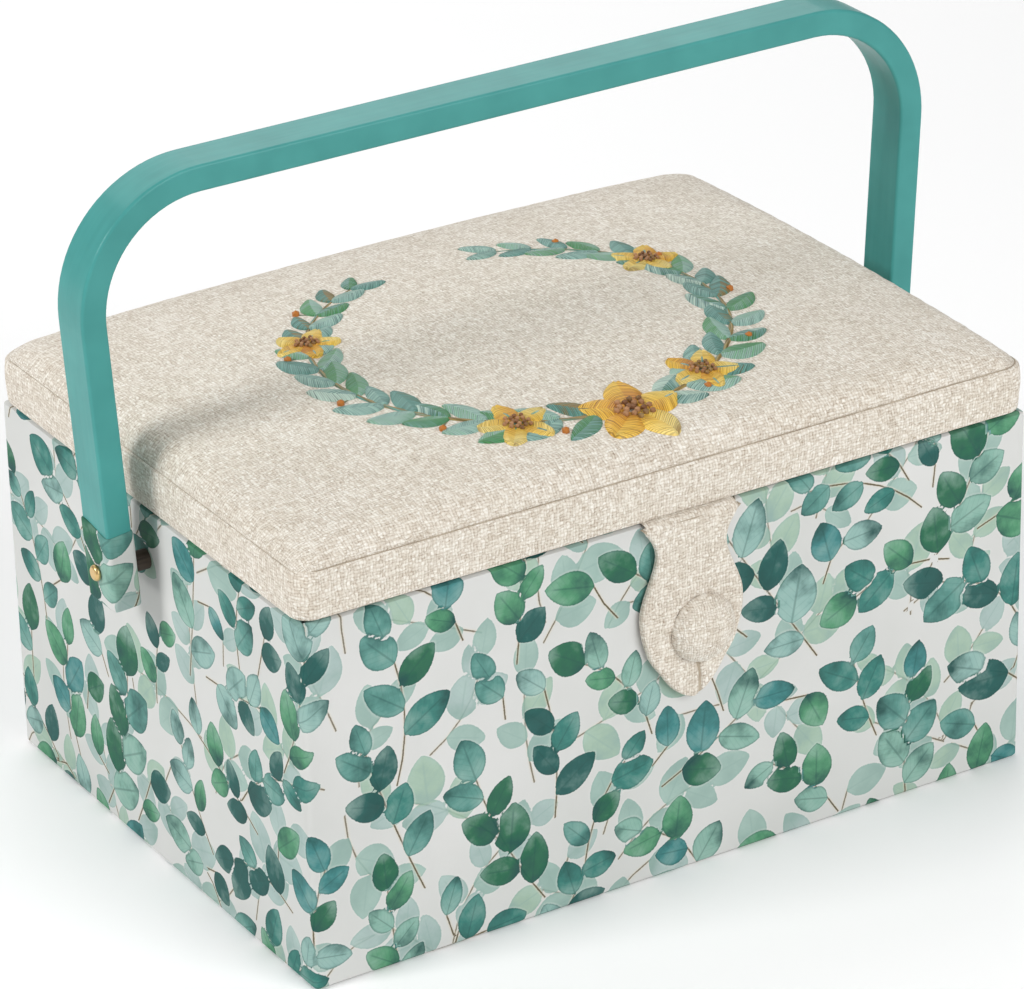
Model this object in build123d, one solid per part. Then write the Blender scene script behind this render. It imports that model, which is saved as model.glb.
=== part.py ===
from build123d import *
import os
from math import cos, exp, radians, sin, tan

# Sewing box with a padded lid, a swinging bow handle, a clasp tab and a lift-out tray.
# Millimetres. X is the long side, -Y the front, +Z up, origin at the centre of the rest face.

# Body of the box, over its cloth
box_length = 261.0
box_depth = 190.0
body_height = 122.3
body_corner_radius = 2.0

# Sheet materials
board = 3.0
cloth = 0.6
lining = 1.2
base_sheet_thickness = 0.8
base_sheet_inset = 3.4
cover_floor_clearance = 0.2
cover_turn_gap = 0.3

# Lid
lid_gap = 0.7
lid_band_height = 15.5
lid_corner_radius = 7.5
lid_lining_thickness = 1.0
crease_inset = 2.0
crown_edge_rise = 7.5
crown_edge_reach = 3.5
crown_dome_rise = 7.3
crown_corner_radius = 7.5
crown_corner_growth = 1.5
crown_insets = (0.0, 0.8, 2.0, 4.0, 7.0, 11.0, 17.0, 26.0, 38.0, 54.0, 74.0)

# Cloth hinge at the back
hinge_cloth_thickness = 0.4
hinge_cloth_length = 236.0
hinge_cloth_height = 11.0

# Bow handle and its pivots
pivot_drop = 16.7
handle_wall_gap = 7.7
handle_shift = 0.8
handle_flare = 3.3
handle_rise = 126.4
handle_bend_radius = 42.0
handle_width = 16.0
handle_thickness = 8.5
handle_edge_radius = 1.0
handle_below_pivot = 10.0
sleeve_above_pivot = 15.5
bolt_radius = 1.5
bolt_head_radius = 2.6
bolt_head_height = 1.4
bolt_head_gap = 0.5
bolt_tip = 0.8
spacer_radius = 3.2
spacer_gap = 0.6
washer_radius = 6.0
washer_thickness = 0.8
nut_width = 5.5
nut_thickness = 2.4
running_clearance = 0.05
snug_clearance = 0.02

# Clasp tab on the front
clasp_offset = 3.5
clasp_wall_gap = 0.4
clasp_board_thickness = 2.0
clasp_strip_thickness = 0.4
clasp_top_gap = 0.3
clasp_outline = (
    (18.2, 0.0),
    (12.6, 11.0),
    (18.4, 29.0),
    (16.2, 43.0),
    (11.5, 51.0),
    (6.5, 57.5),
)
clasp_length = 61.0
button_drop = 38.0
button_shift = 3.0
button_radius = 11.2
button_rim = 1.6
button_crown = 3.4
magnet_radius = 7.0
magnet_thickness = 1.2

# Tray and the rails that carry it
rail_height = 73.0
rail_thickness = 5.0
tray_height = 32.0
tray_wall = 1.6
tray_corner_radius = 6.0
tray_side_clearance = 1.0
tray_bolt_clearance = 1.5
tray_long_row = 58.0
tray_long_share = 0.66
tray_small_columns = 4
tray_small_rows = 2

# Inside of the lid
pincushion_radius = 28.0
pincushion_height = 9.0
pincushion_rim = 3.0
pincushion_x = 62.0
pocket_thickness = 1.2
pocket_length = 120.0
pocket_depth = 120.0
pocket_x = -50.0

# Sizes that follow from the ones above
pivot_height = body_height - pivot_drop
half_x = box_length / 2
half_y = box_depth / 2
board_half_x = half_x - cloth
board_half_y = half_y - cloth
room_half_x = board_half_x - board
room_half_y = board_half_y - board
inside_half_x = room_half_x - lining
inside_half_y = room_half_y - lining
board_corner = body_corner_radius - cloth
floor_bottom = base_sheet_thickness
floor_top = floor_bottom + board
room_floor = floor_top + lining
wall_top = body_height - cloth

lid_bottom = body_height + lid_gap
crease_z = lid_bottom + lid_band_height
lid_board_bottom = crease_z - board
lid_rail_bottom = lid_bottom + cloth
lid_lining_bottom = lid_board_bottom - lid_lining_thickness
crown_half_x = half_x - crease_inset
crown_half_y = half_y - crease_inset

clasp_back = half_y + clasp_wall_gap
clasp_front = clasp_back + cloth + clasp_board_thickness + cloth
clasp_top = lid_bottom - clasp_strip_thickness - clasp_top_gap
button_x = clasp_offset + button_shift
button_z = clasp_top - button_drop

flare_sine = sin(radians(handle_flare))
flare_cosine = cos(radians(handle_flare))
flare_tangent = tan(radians(handle_flare))
sleeve_inner_x = half_x + handle_wall_gap
handle_half_width = sleeve_inner_x + (cloth + handle_thickness) / flare_cosine
sleeve_outer_x = handle_half_width + cloth / flare_cosine
spacer_outer_x = sleeve_inner_x - spacer_gap
bolt_head_x = sleeve_outer_x + bolt_head_gap
washer_inner_x = inside_half_x - washer_thickness
nut_inner_x = washer_inner_x - nut_thickness
bolt_tip_x = nut_inner_x - bolt_tip

rail_top = room_floor + rail_height
tray_half_x = bolt_tip_x - tray_bolt_clearance
tray_half_y = inside_half_y - tray_side_clearance
tray_top = rail_top + tray_height
sides = ((-1, "left"), (1, "right"))


def block(x0, x1, y0, y1, z0, z1):
    """A rectangular block between two corners."""
    middle = Pos((x0 + x1) / 2, (y0 + y1) / 2, (z0 + z1) / 2)
    return middle * Box(abs(x1 - x0), abs(y1 - y0), abs(z1 - z0))


def rounded_prism(half_length, half_width, radius, z0, z1):
    """An upright prism on a rounded rectangle, centred on the box."""
    outline = RectangleRounded(2 * half_length, 2 * half_width, radius)
    return Pos(0, 0, z0) * extrude(outline, z1 - z0)


def rod_x(x0, x1, radius, z):
    """A round rod along X, in the pivot plane."""
    return Pos((x0 + x1) / 2, 0, z) * Rot(0, 90, 0) * Cylinder(radius, abs(x1 - x0))


def disc_y(x, z, y0, y1, radius):
    """A round disc whose axis runs front to back."""
    return Pos(x, (y0 + y1) / 2, z) * Rot(90, 0, 0) * Cylinder(radius, abs(y1 - y0))


def pivot_hole(side, clearance):
    """The bore that a pivot bolt passes through on one side."""
    outer_end = side * (bolt_head_x + bolt_head_height) + handle_shift
    return rod_x(side * bolt_tip_x, outer_end, bolt_radius + clearance, pivot_height)


def body_boards():
    """The four wall boards, rounded at their outer corners, as one ring."""
    outer = rounded_prism(board_half_x, board_half_y, board_corner, floor_top, wall_top)
    return outer - block(-room_half_x, room_half_x, -room_half_y, room_half_y, floor_top, wall_top)


def body_slab(x0, x1, y0, y1):
    """The part of the board ring that one wall board fills."""
    return body_boards() & block(x0, x1, y0, y1, floor_top, wall_top)


def keeper_disc(clearance):
    """The round space of the steel keeper, in the outer face of the front board."""
    face = -board_half_y
    return disc_y(clasp_offset, button_z, face, face + magnet_thickness, magnet_radius + clearance)


def front_wall():
    """The front board, with a pocket for the steel keeper of the clasp."""
    wall = body_slab(-board_half_x, board_half_x, -board_half_y, -room_half_y)
    return wall - keeper_disc(snug_clearance)


def back_wall():
    """The back board."""
    return body_slab(-board_half_x, board_half_x, room_half_y, board_half_y)


def side_wall(side):
    """An end board between the front and back boards, bored for its pivot bolt."""
    wall = body_slab(side * room_half_x, side * board_half_x, -room_half_y, room_half_y)
    return wall - pivot_hole(side, snug_clearance)


def base_board():
    """The bottom board, under all four walls."""
    return rounded_prism(board_half_x, board_half_y, board_corner, floor_bottom, floor_top)


def base_sheet():
    """The paper sheet glued under the base, which the box stands on."""
    half_length = half_x - base_sheet_inset
    half_width = half_y - base_sheet_inset
    return rounded_prism(half_length, half_width, body_corner_radius, 0, base_sheet_thickness)


def printed_cover():
    """The printed cloth round the walls, turned over the rim and under the base."""
    skin = rounded_prism(half_x, half_y, body_corner_radius, cover_floor_clearance, body_height)
    boards = rounded_prism(board_half_x, board_half_y, board_corner, floor_bottom, wall_top)
    mouth = block(-room_half_x, room_half_x, -room_half_y, room_half_y, wall_top, body_height)
    under_half_x = half_x - base_sheet_inset + cover_turn_gap
    under_half_y = half_y - base_sheet_inset + cover_turn_gap
    under = rounded_prism(under_half_x, under_half_y, body_corner_radius, 0, floor_bottom)
    cover = skin - boards - mouth - under
    for side, _ in sides:
        cover = cover - pivot_hole(side, snug_clearance)
    return cover


def lining_floor():
    """The lining panel on the base board."""
    return block(-room_half_x, room_half_x, -room_half_y, room_half_y, floor_top, room_floor)


def lining_long(side):
    """A lining panel on the front or back wall."""
    face = side * inside_half_y
    return block(-room_half_x, room_half_x, face, side * room_half_y, room_floor, body_height)


def lining_end(side):
    """A lining panel on an end wall, bored for the pivot bolt."""
    face = side * inside_half_x
    panel = block(face, side * room_half_x, -inside_half_y, inside_half_y, room_floor, body_height)
    return panel - pivot_hole(side, snug_clearance)


def tray_rail(side):
    """A covered strip along the front or back wall that the tray rests on."""
    inner = inside_half_y - rail_thickness
    return block(-inside_half_x, inside_half_x, side * inner, side * inside_half_y, room_floor, rail_top)


def magnet_keeper():
    """The steel disc in the front board, under the printed cloth."""
    return keeper_disc(0)


def pivot_bolt(side):
    """A brass bolt with a low domed head outside the handle and its tip inside the box."""
    under_head = side * bolt_head_x + handle_shift
    shank = rod_x(side * bolt_tip_x, under_head, bolt_radius, pivot_height)
    head = rod_x(under_head, under_head + side * bolt_head_height, bolt_head_radius, pivot_height)
    rim = head.edges().filter_by(GeomType.CIRCLE).sort_by(Axis.X)[-1 if side > 0 else 0]
    return shank + fillet(rim, bolt_head_height * 0.8)


def pivot_spacer(side):
    """The sleeve that holds the handle off the end wall."""
    body = rod_x(side * half_x, side * spacer_outer_x + handle_shift, spacer_radius, pivot_height)
    return body - pivot_hole(side, snug_clearance)


def pivot_washer(side):
    """The washer that spreads the nut's load on the lining."""
    body = rod_x(side * washer_inner_x, side * inside_half_x, washer_radius, pivot_height)
    return body - pivot_hole(side, snug_clearance)


def pivot_nut(side):
    """The hexagon nut inside the box."""
    outline = RegularPolygon(nut_width / 2, 6, major_radius=False)
    prism = extrude(outline, nut_thickness / 2, both=True)
    body = Pos(side * (washer_inner_x + nut_inner_x) / 2, 0, pivot_height) * Rot(0, 90, 0) * prism
    return body - pivot_hole(side, snug_clearance)


def hinge_cloth(inner_y, z0, z1):
    """One half of the cloth hinge, glued flat on the back."""
    half_length = hinge_cloth_length / 2
    return block(-half_length, half_length, inner_y, inner_y + hinge_cloth_thickness, z0, z1)


def lid_room(half_length, half_width, z1):
    """A block that fills the lid's hollow from its lower edge up to z1."""
    return block(-half_length, half_length, -half_width, half_width, lid_rail_bottom, z1)


def lid_slab(x0, x1, y0, y1):
    """The part of the lid's rail ring, rounded at its outer corners, that one rail fills."""
    radius = lid_corner_radius - cloth
    outer = rounded_prism(board_half_x, board_half_y, radius, lid_rail_bottom, lid_board_bottom)
    ring = outer - lid_room(room_half_x, room_half_y, lid_board_bottom)
    return ring & block(x0, x1, y0, y1, lid_rail_bottom, lid_board_bottom)


def lid_rail_long(side):
    """The front or back rail of the lid."""
    return lid_slab(-half_x, half_x, side * room_half_y, side * half_y)


def lid_rail_end(side):
    """An end rail of the lid, between the long ones."""
    return lid_slab(side * room_half_x, side * half_x, -room_half_y, room_half_y)


def lid_board():
    """The top board of the lid."""
    radius = lid_corner_radius - cloth
    return rounded_prism(board_half_x, board_half_y, radius, lid_board_bottom, crease_z)


def lid_band_cover():
    """The linen band round the lid's edge, turned in under the rails."""
    skin = rounded_prism(half_x, half_y, lid_corner_radius, lid_bottom, crease_z)
    radius = lid_corner_radius - cloth
    boards = rounded_prism(board_half_x, board_half_y, radius, lid_rail_bottom, crease_z)
    turned_in = block(-room_half_x, room_half_x, -room_half_y, room_half_y, lid_bottom, lid_rail_bottom)
    return skin - boards - turned_in


def crown_rise(inset):
    """How far the padded top stands over the crease, at a distance in from its edge."""
    edge = crown_edge_rise * (1 - exp(-inset / crown_edge_reach))
    dome = crown_dome_rise * (1 - (1 - inset / crown_half_y) ** 2)
    return edge + dome


def crown(insets, shrink):
    """The crowned cushion form, lofted through rounded rectangles that rise as they draw in."""
    sections = []
    for inset in insets:
        half_length = crown_half_x - shrink - inset
        half_width = crown_half_y - shrink - inset
        radius = min(crown_corner_radius + crown_corner_growth * inset, 0.9 * half_width)
        rise = max(crown_rise(inset) - shrink, 0)
        outline = RectangleRounded(2 * half_length, 2 * half_width, radius)
        sections.append(Pos(0, 0, crease_z + rise) * outline)
    return loft(sections, ruled=True)


def lid_padding():
    """The foam pad on the lid board."""
    return crown(crown_insets, cloth)


def lid_cover():
    """The linen stretched over the pad."""
    return crown(crown_insets, 0) - lid_padding()


def lid_lining():
    """The lining tray inside the lid."""
    outer = lid_room(room_half_x, room_half_y, lid_board_bottom)
    inner_x = room_half_x - lid_lining_thickness
    inner_y = room_half_y - lid_lining_thickness
    return outer - lid_room(inner_x, inner_y, lid_lining_bottom)


def lid_pocket():
    """The flat cloth pocket inside the lid."""
    x0 = pocket_x - pocket_length / 2
    y0 = -pocket_depth / 2
    z0 = lid_lining_bottom - pocket_thickness
    return block(x0, x0 + pocket_length, y0, y0 + pocket_depth, z0, lid_lining_bottom)


def pincushion():
    """The round stuffed pincushion inside the lid, crowned downwards."""
    rim_middle = Pos(pincushion_x, 0, lid_lining_bottom - pincushion_rim / 2)
    rim = rim_middle * Cylinder(pincushion_radius, pincushion_rim)
    crown_height = pincushion_height - pincushion_rim
    ball_radius = (pincushion_radius ** 2 + crown_height ** 2) / (2 * crown_height)
    lowest = lid_lining_bottom - pincushion_height
    ball = Pos(pincushion_x, 0, lowest + ball_radius) * Rot(90, 0, 0) * Sphere(ball_radius)
    below = Pos(pincushion_x, 0, (lowest + lid_lining_bottom - pincushion_rim) / 2)
    return rim + (ball & (below * Cylinder(pincushion_radius, crown_height)))


def clasp_strip():
    """The linen tongue under the lid's front rail that the clasp hangs from."""
    left = clasp_offset - clasp_outline[0][0]
    right = clasp_offset + clasp_outline[0][0]
    return block(left, right, -clasp_back, -room_half_y, lid_bottom - clasp_strip_thickness, lid_bottom)


def clasp_face(inset):
    """The spade outline of the clasp tab, drawn in by an inset, in its own plane."""
    right = [(x - inset, -max(drop, inset)) for x, drop in clasp_outline]
    tip = (0, -clasp_length + inset)
    left = [(-x, drop) for x, drop in reversed(right)]
    edge = Spline(*right, tip, *left)
    return make_face([edge, Line(left[-1], right[0])])


def clasp_slab(inset, y0, y1):
    """The clasp outline given a thickness, standing in front of the front wall."""
    plane = Plane(origin=(clasp_offset, -y0, clasp_top), x_dir=(1, 0, 0), z_dir=(0, -1, 0))
    return extrude(plane * clasp_face(inset), y1 - y0)


def clasp_board():
    """The card inside the clasp, with a pocket for the magnet."""
    inner = clasp_back + cloth
    slab = clasp_slab(cloth, inner, inner + clasp_board_thickness)
    pocket_radius = magnet_radius + snug_clearance
    return slab - disc_y(clasp_offset, button_z, -inner, -inner - magnet_thickness, pocket_radius)


def clasp_cover():
    """The linen round the clasp card."""
    inner = clasp_back + cloth
    return clasp_slab(0, clasp_back, clasp_front) - clasp_slab(cloth, inner, inner + clasp_board_thickness)


def clasp_magnet():
    """The magnet in the back of the clasp card."""
    inner = clasp_back + cloth
    return disc_y(clasp_offset, button_z, -inner, -inner - magnet_thickness, magnet_radius)


def clasp_button():
    """The linen-covered button with a domed face."""
    rim = disc_y(button_x, button_z, -clasp_front, -clasp_front - button_rim, button_radius)
    ball_radius = (button_radius ** 2 + button_crown ** 2) / (2 * button_crown)
    dome_y = clasp_front + button_rim
    ball = Pos(button_x, -dome_y - button_crown + ball_radius, button_z) * Sphere(ball_radius)
    return rim + (ball & disc_y(button_x, button_z, -dome_y, -dome_y - button_crown, button_radius))


def handle_line(below_pivot):
    """The middle line of the bow, its ends a stated depth below the pivots."""
    middle = handle_half_width - handle_thickness / 2 / flare_cosine
    top = handle_rise - handle_thickness / 2
    end = (middle - below_pivot * flare_tangent, pivot_height - below_pivot)
    corner = (middle + top * flare_tangent, pivot_height + top)
    radius = handle_bend_radius - handle_thickness / 2
    left = ((-end[0], 0, end[1]), (-corner[0], 0, corner[1]))
    right = ((corner[0], 0, corner[1]), (end[0], 0, end[1]))
    return Pos(handle_shift, 0, 0) * FilletPolyline(*left, *right, radius=radius)


def handle_bow():
    """The bent bow, bored for its two pivot bolts."""
    line = handle_line(handle_below_pivot)
    start = Plane(origin=line @ 0, x_dir=(0, 1, 0), z_dir=line % 0)
    section = start * RectangleRounded(handle_width, handle_thickness, handle_edge_radius)
    bow = sweep(section, path=line)
    for side, _ in sides:
        bow = bow - pivot_hole(side, running_clearance)
    return bow


def handle_sleeve(side):
    """The printed cloth glued round one end of the bow."""
    middle = handle_half_width - handle_thickness / 2 / flare_cosine
    end_x = middle - (handle_below_pivot + cloth) * flare_tangent
    along = (side * flare_sine, 0, flare_cosine)
    end_z = pivot_height - handle_below_pivot - cloth
    start = Plane(origin=(side * end_x + handle_shift, 0, end_z), x_dir=(0, 1, 0), z_dir=along)
    radius = handle_edge_radius + cloth
    section = RectangleRounded(handle_width + 2 * cloth, handle_thickness + 2 * cloth, radius)
    length = (handle_below_pivot + cloth + sleeve_above_pivot) / flare_cosine
    wrap = extrude(start * section, length)
    return wrap - handle_bow() - pivot_hole(side, running_clearance)


def tray_cells():
    """The corners of each tray compartment, long ones in front and small ones behind."""
    left = -tray_half_x + tray_wall
    right = tray_half_x - tray_wall
    front = -tray_half_y + tray_wall
    back = tray_half_y - tray_wall
    split = left + (right - left) * tray_long_share
    row = front + tray_long_row
    cells = [(left, split - tray_wall / 2, front, row), (split + tray_wall / 2, right, front, row)]
    width = (right - left - (tray_small_columns - 1) * tray_wall) / tray_small_columns
    depth = (back - row - tray_small_rows * tray_wall) / tray_small_rows
    for column in range(tray_small_columns):
        for line in range(tray_small_rows):
            x0 = left + column * (width + tray_wall)
            y0 = row + tray_wall + line * (depth + tray_wall)
            cells.append((x0, x0 + width, y0, y0 + depth))
    return cells


def tray():
    """The moulded tray with open compartments."""
    shell = rounded_prism(tray_half_x, tray_half_y, tray_corner_radius, rail_top, tray_top)
    for x0, x1, y0, y1 in tray_cells():
        cell = RectangleRounded(x1 - x0, y1 - y0, tray_corner_radius - tray_wall)
        middle = Pos((x0 + x1) / 2, (y0 + y1) / 2, rail_top + tray_wall)
        shell = shell - middle * extrude(cell, tray_height)
    return shell


def all_pieces():
    """Every piece of the box under its own name."""
    pieces = {
        "base_board": base_board(),
        "base_sheet": base_sheet(),
        "front_wall": front_wall(),
        "back_wall": back_wall(),
        "printed_cover": printed_cover(),
        "lining_floor": lining_floor(),
        "lining_front": lining_long(-1),
        "lining_back": lining_long(1),
        "tray_rail_front": tray_rail(-1),
        "tray_rail_back": tray_rail(1),
        "magnet_keeper": magnet_keeper(),
        "hinge_cloth_body": hinge_cloth(half_y, body_height - hinge_cloth_height, body_height),
        "hinge_cloth_lid": hinge_cloth(half_y, lid_bottom, lid_bottom + hinge_cloth_height),
        "lid_board": lid_board(),
        "lid_rail_front": lid_rail_long(-1),
        "lid_rail_back": lid_rail_long(1),
        "lid_band_cover": lid_band_cover(),
        "lid_padding": lid_padding(),
        "lid_cover": lid_cover(),
        "lid_lining": lid_lining(),
        "lid_pocket": lid_pocket(),
        "pincushion": pincushion(),
        "clasp_strip": clasp_strip(),
        "clasp_board": clasp_board(),
        "clasp_cover": clasp_cover(),
        "clasp_magnet": clasp_magnet(),
        "clasp_button": clasp_button(),
        "handle_bow": handle_bow(),
        "tray": tray(),
    }
    for side, name in sides:
        pieces[name + "_wall"] = side_wall(side)
        pieces["lining_" + name] = lining_end(side)
        pieces["lid_rail_" + name] = lid_rail_end(side)
        pieces["pivot_bolt_" + name] = pivot_bolt(side)
        pieces["pivot_spacer_" + name] = pivot_spacer(side)
        pieces["pivot_washer_" + name] = pivot_washer(side)
        pieces["pivot_nut_" + name] = pivot_nut(side)
        pieces["handle_sleeve_" + name] = handle_sleeve(side)
    return pieces


os.makedirs("parts", exist_ok=True)
for piece_name, piece in all_pieces().items():
    export_step(piece, f"parts/{piece_name}.step")
print(f"room inside {2 * inside_half_x:.1f} by {2 * inside_half_y:.1f} from z {room_floor:.1f}")
print(f"tray {2 * tray_half_x:.1f} by {2 * tray_half_y:.1f}, z {rail_top:.1f} to {tray_top:.1f}")
print(f"lid underside {lid_lining_bottom:.1f}, crease {crease_z:.1f}, button z {button_z:.1f}")
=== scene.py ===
# %% [markdown]
# # A cloth-covered sewing box
#
# The real box is made of grey board. Printed cotton is wrapped round its walls, natural linen is
# stretched over a padded lid, a painted wooden bow swings on two brass bolts, and a linen tab with
# a covered button holds the lid shut. A tray lifts out of the inside.
#
# The boards, bolts, tray and all the moving joints come ready made from the CAD frame. This lesson
# dresses them: nearly every cloth is cut flat, printed or woven flat, and then folded over its
# boards.

# %% Load the frame
import math

import bmesh
import bpy
import numpy as np
from mathutils import Matrix, Vector
from mathutils.bvhtree import BVHTree


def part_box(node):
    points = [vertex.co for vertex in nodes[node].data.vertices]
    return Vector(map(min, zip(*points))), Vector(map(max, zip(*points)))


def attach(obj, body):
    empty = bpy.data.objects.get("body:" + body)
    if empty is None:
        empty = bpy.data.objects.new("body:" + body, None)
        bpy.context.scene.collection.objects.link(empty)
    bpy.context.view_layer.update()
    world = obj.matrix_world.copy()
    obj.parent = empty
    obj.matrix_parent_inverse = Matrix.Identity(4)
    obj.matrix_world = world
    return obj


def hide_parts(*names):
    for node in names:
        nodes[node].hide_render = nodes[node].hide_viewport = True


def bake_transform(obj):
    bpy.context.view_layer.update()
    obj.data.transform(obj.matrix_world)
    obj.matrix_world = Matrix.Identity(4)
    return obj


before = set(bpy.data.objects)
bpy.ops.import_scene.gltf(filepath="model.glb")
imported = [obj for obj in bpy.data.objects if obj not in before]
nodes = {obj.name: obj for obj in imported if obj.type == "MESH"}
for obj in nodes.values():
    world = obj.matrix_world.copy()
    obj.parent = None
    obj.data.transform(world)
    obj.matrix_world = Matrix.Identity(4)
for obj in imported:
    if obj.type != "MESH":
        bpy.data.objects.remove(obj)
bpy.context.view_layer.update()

MM = 0.001
scene = bpy.context.scene

# %% [markdown]
# ## Measures taken from the frame
#
# The size of each cloth follows from the lowest and highest corner of the CAD piece that it
# covers. The corners are kept in millimetres, because cloth is thought of that way, and the
# finished meshes are scaled to metres as the last thing done to each. How round the upright
# corners are can't be read from a box, so it is given here.

# %% Read the corners in millimetres
def corners(node):
    """The lowest and highest corner of a CAD piece, in millimetres."""
    low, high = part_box(node)
    return low / MM, high / MM


body_low, body_high = corners("printed_cover")
band_low, band_high = corners("lid_band_cover")
crown_low, _ = corners("lid_cover")
tab_low, tab_high = corners("clasp_cover")
button_low, button_high = corners("clasp_button")
BODY_CORNER = 2.0
LID_CORNER = 6.5
print("body", [round(v, 1) for v in body_high - body_low], "lid crease at", round(crown_low.z, 1))

# %% [markdown]
# ## A short way to write materials
#
# Every finish here is a small sum worked out at each point of the surface: how far into a leaf the
# point lies, which thread of the linen it is on. Blender writes such sums as nodes. `Sum` wraps one
# socket, so that `a * b + c` in Python makes the three nodes and their links.

# %% Node sums
class Sum:
    """One number in a material's node tree, which can be reckoned with."""

    def __init__(self, tree, socket):
        self.tree = tree
        self.socket = socket

    def do(self, operation, *others, clamp=False):
        node = self.tree.nodes.new("ShaderNodeMath")
        node.operation = operation
        node.use_clamp = clamp
        for socket, value in zip(node.inputs, (self, *others)):
            if isinstance(value, Sum):
                self.tree.links.new(value.socket, socket)
            else:
                socket.default_value = value
        return Sum(self.tree, node.outputs[0])

    def __add__(self, other):
        return self.do("ADD", other)

    def __sub__(self, other):
        return self.do("SUBTRACT", other)

    def __mul__(self, other):
        return self.do("MULTIPLY", other)

    def __rsub__(self, other):
        return self.do("MULTIPLY_ADD", -1.0, other)

    def __truediv__(self, other):
        return self.do("DIVIDE", other)

    def ramp(self, low, high):
        """0 below low, 1 above high, and a smooth step between. High may be the smaller one."""
        node = self.tree.nodes.new("ShaderNodeMapRange")
        node.interpolation_type = "SMOOTHSTEP"
        self.tree.links.new(self.socket, node.inputs["Value"])
        node.inputs["From Min"].default_value = min(low, high)
        node.inputs["From Max"].default_value = max(low, high)
        node.inputs["To Min"].default_value = 0.0 if low < high else 1.0
        node.inputs["To Max"].default_value = 1.0 if low < high else 0.0
        return Sum(self.tree, node.outputs["Result"])


# %% Node colours, coordinates and noise
def new_finish(name, roughness, **settings):
    """A material with one shader, its constants set on the shader's own sockets."""
    finish = bpy.data.materials.new(name)
    finish.use_nodes = True
    shader = finish.node_tree.nodes["Principled BSDF"]
    shader.inputs["Roughness"].default_value = roughness
    for socket, value in settings.items():
        shader.inputs[socket.replace("_", " ")].default_value = value
    return finish, finish.node_tree, shader


def split(tree, vector):
    """The three numbers of a vector socket."""
    node = tree.nodes.new("ShaderNodeSeparateXYZ")
    tree.links.new(vector, node.inputs[0])
    return [Sum(tree, node.outputs[i]) for i in range(3)]


def place(tree):
    """Where the point is on the object, in metres."""
    return tree.nodes.new("ShaderNodeTexCoord").outputs["Object"]


def stored(tree, name):
    """The three numbers that the piece carries at each vertex under a name."""
    node = tree.nodes.new("ShaderNodeAttribute")
    node.attribute_name = name
    return split(tree, node.outputs["Vector"])


def joined(tree, x, y, z=0.0):
    """A vector made of three numbers."""
    node = tree.nodes.new("ShaderNodeCombineXYZ")
    for socket, value in zip(node.inputs, (x, y, z)):
        if isinstance(value, Sum):
            tree.links.new(value.socket, socket)
        else:
            socket.default_value = value
    return node.outputs[0]


def noise(tree, vector, scale, detail=2.0):
    """Soft noise from 0 to 1 about 0.5."""
    node = tree.nodes.new("ShaderNodeTexNoise")
    node.inputs["Scale"].default_value = scale
    node.inputs["Detail"].default_value = detail
    tree.links.new(vector, node.inputs["Vector"])
    return Sum(tree, node.outputs["Fac"])


def chance(tree, x, y=0.0):
    """A random number from 0 to 1 for each pair of whole numbers."""
    node = tree.nodes.new("ShaderNodeTexWhiteNoise")
    node.noise_dimensions = "3D"
    tree.links.new(joined(tree, x, y), node.inputs["Vector"])
    return Sum(tree, node.outputs["Value"])


def colour_of(tree, value, stops, stepped=False):
    """A colour looked up from a number, through (position, colour) stops."""
    node = tree.nodes.new("ShaderNodeValToRGB")
    node.color_ramp.interpolation = "CONSTANT" if stepped else "LINEAR"
    elements = node.color_ramp.elements
    while len(elements) < len(stops):
        elements.new(0.5)
    for element, (position, colour) in zip(elements, stops):
        element.position = position
        element.color = (*colour, 1.0)
    tree.links.new(value.socket, node.inputs[0])
    return node.outputs[0]


def blend_colour(tree, factor, first, second, kind="MIX"):
    """Two colours mixed by a number."""
    node = tree.nodes.new("ShaderNodeMix")
    node.data_type = "RGBA"
    node.blend_type = kind
    for number, value in ((0, factor), (6, first), (7, second)):
        socket = node.inputs[number]
        if isinstance(value, Sum):
            tree.links.new(value.socket, socket)
        elif isinstance(value, bpy.types.NodeSocket):
            tree.links.new(value, socket)
        elif isinstance(value, float):
            socket.default_value = value
        else:
            socket.default_value = (*value, 1.0)
    return node.outputs[2]


def relief(tree, shader, height, distance, strength=1.0):
    """Lets a height, from 0 to 1, dent the surface by a distance in metres."""
    node = tree.nodes.new("ShaderNodeBump")
    node.inputs["Strength"].default_value = strength
    node.inputs["Distance"].default_value = distance
    tree.links.new(height.socket, node.inputs["Height"])
    tree.links.new(node.outputs[0], shader.inputs["Normal"])


def paint(tree, shader, colour):
    """Sends a colour to the shader."""
    tree.links.new(colour, shader.inputs["Base Color"])


print("node helpers ready")

# %% [markdown]
# ## Woven linen
#
# Natural linen is a plain weave: each thread goes over one and under the next, and no two threads
# are equally thick or equally pale. The sum below draws both sets of threads in the flat
# coordinates that every linen piece carries, so the weave turns round corners with the cloth.
# Spun flax wavers, so the threads drift a few places to either side, and dark pits show between
# them. The colour also follows the weave's height: the crowns of the threads are painted lighter
# and the pits between them painted darker, as painted light and shade.

# %% The linen finish
# How much of a thread's tone is long slubs, how many threads wide it wanders slowly and quickly,
# how far its sides fall away from its back, and how deep it dives under the next.
SLUB = 0.35
DRIFT = 2.4
WAVER = 1.6
THREAD_CROWN = 0.85
THREAD_DIP = 0.75


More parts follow.
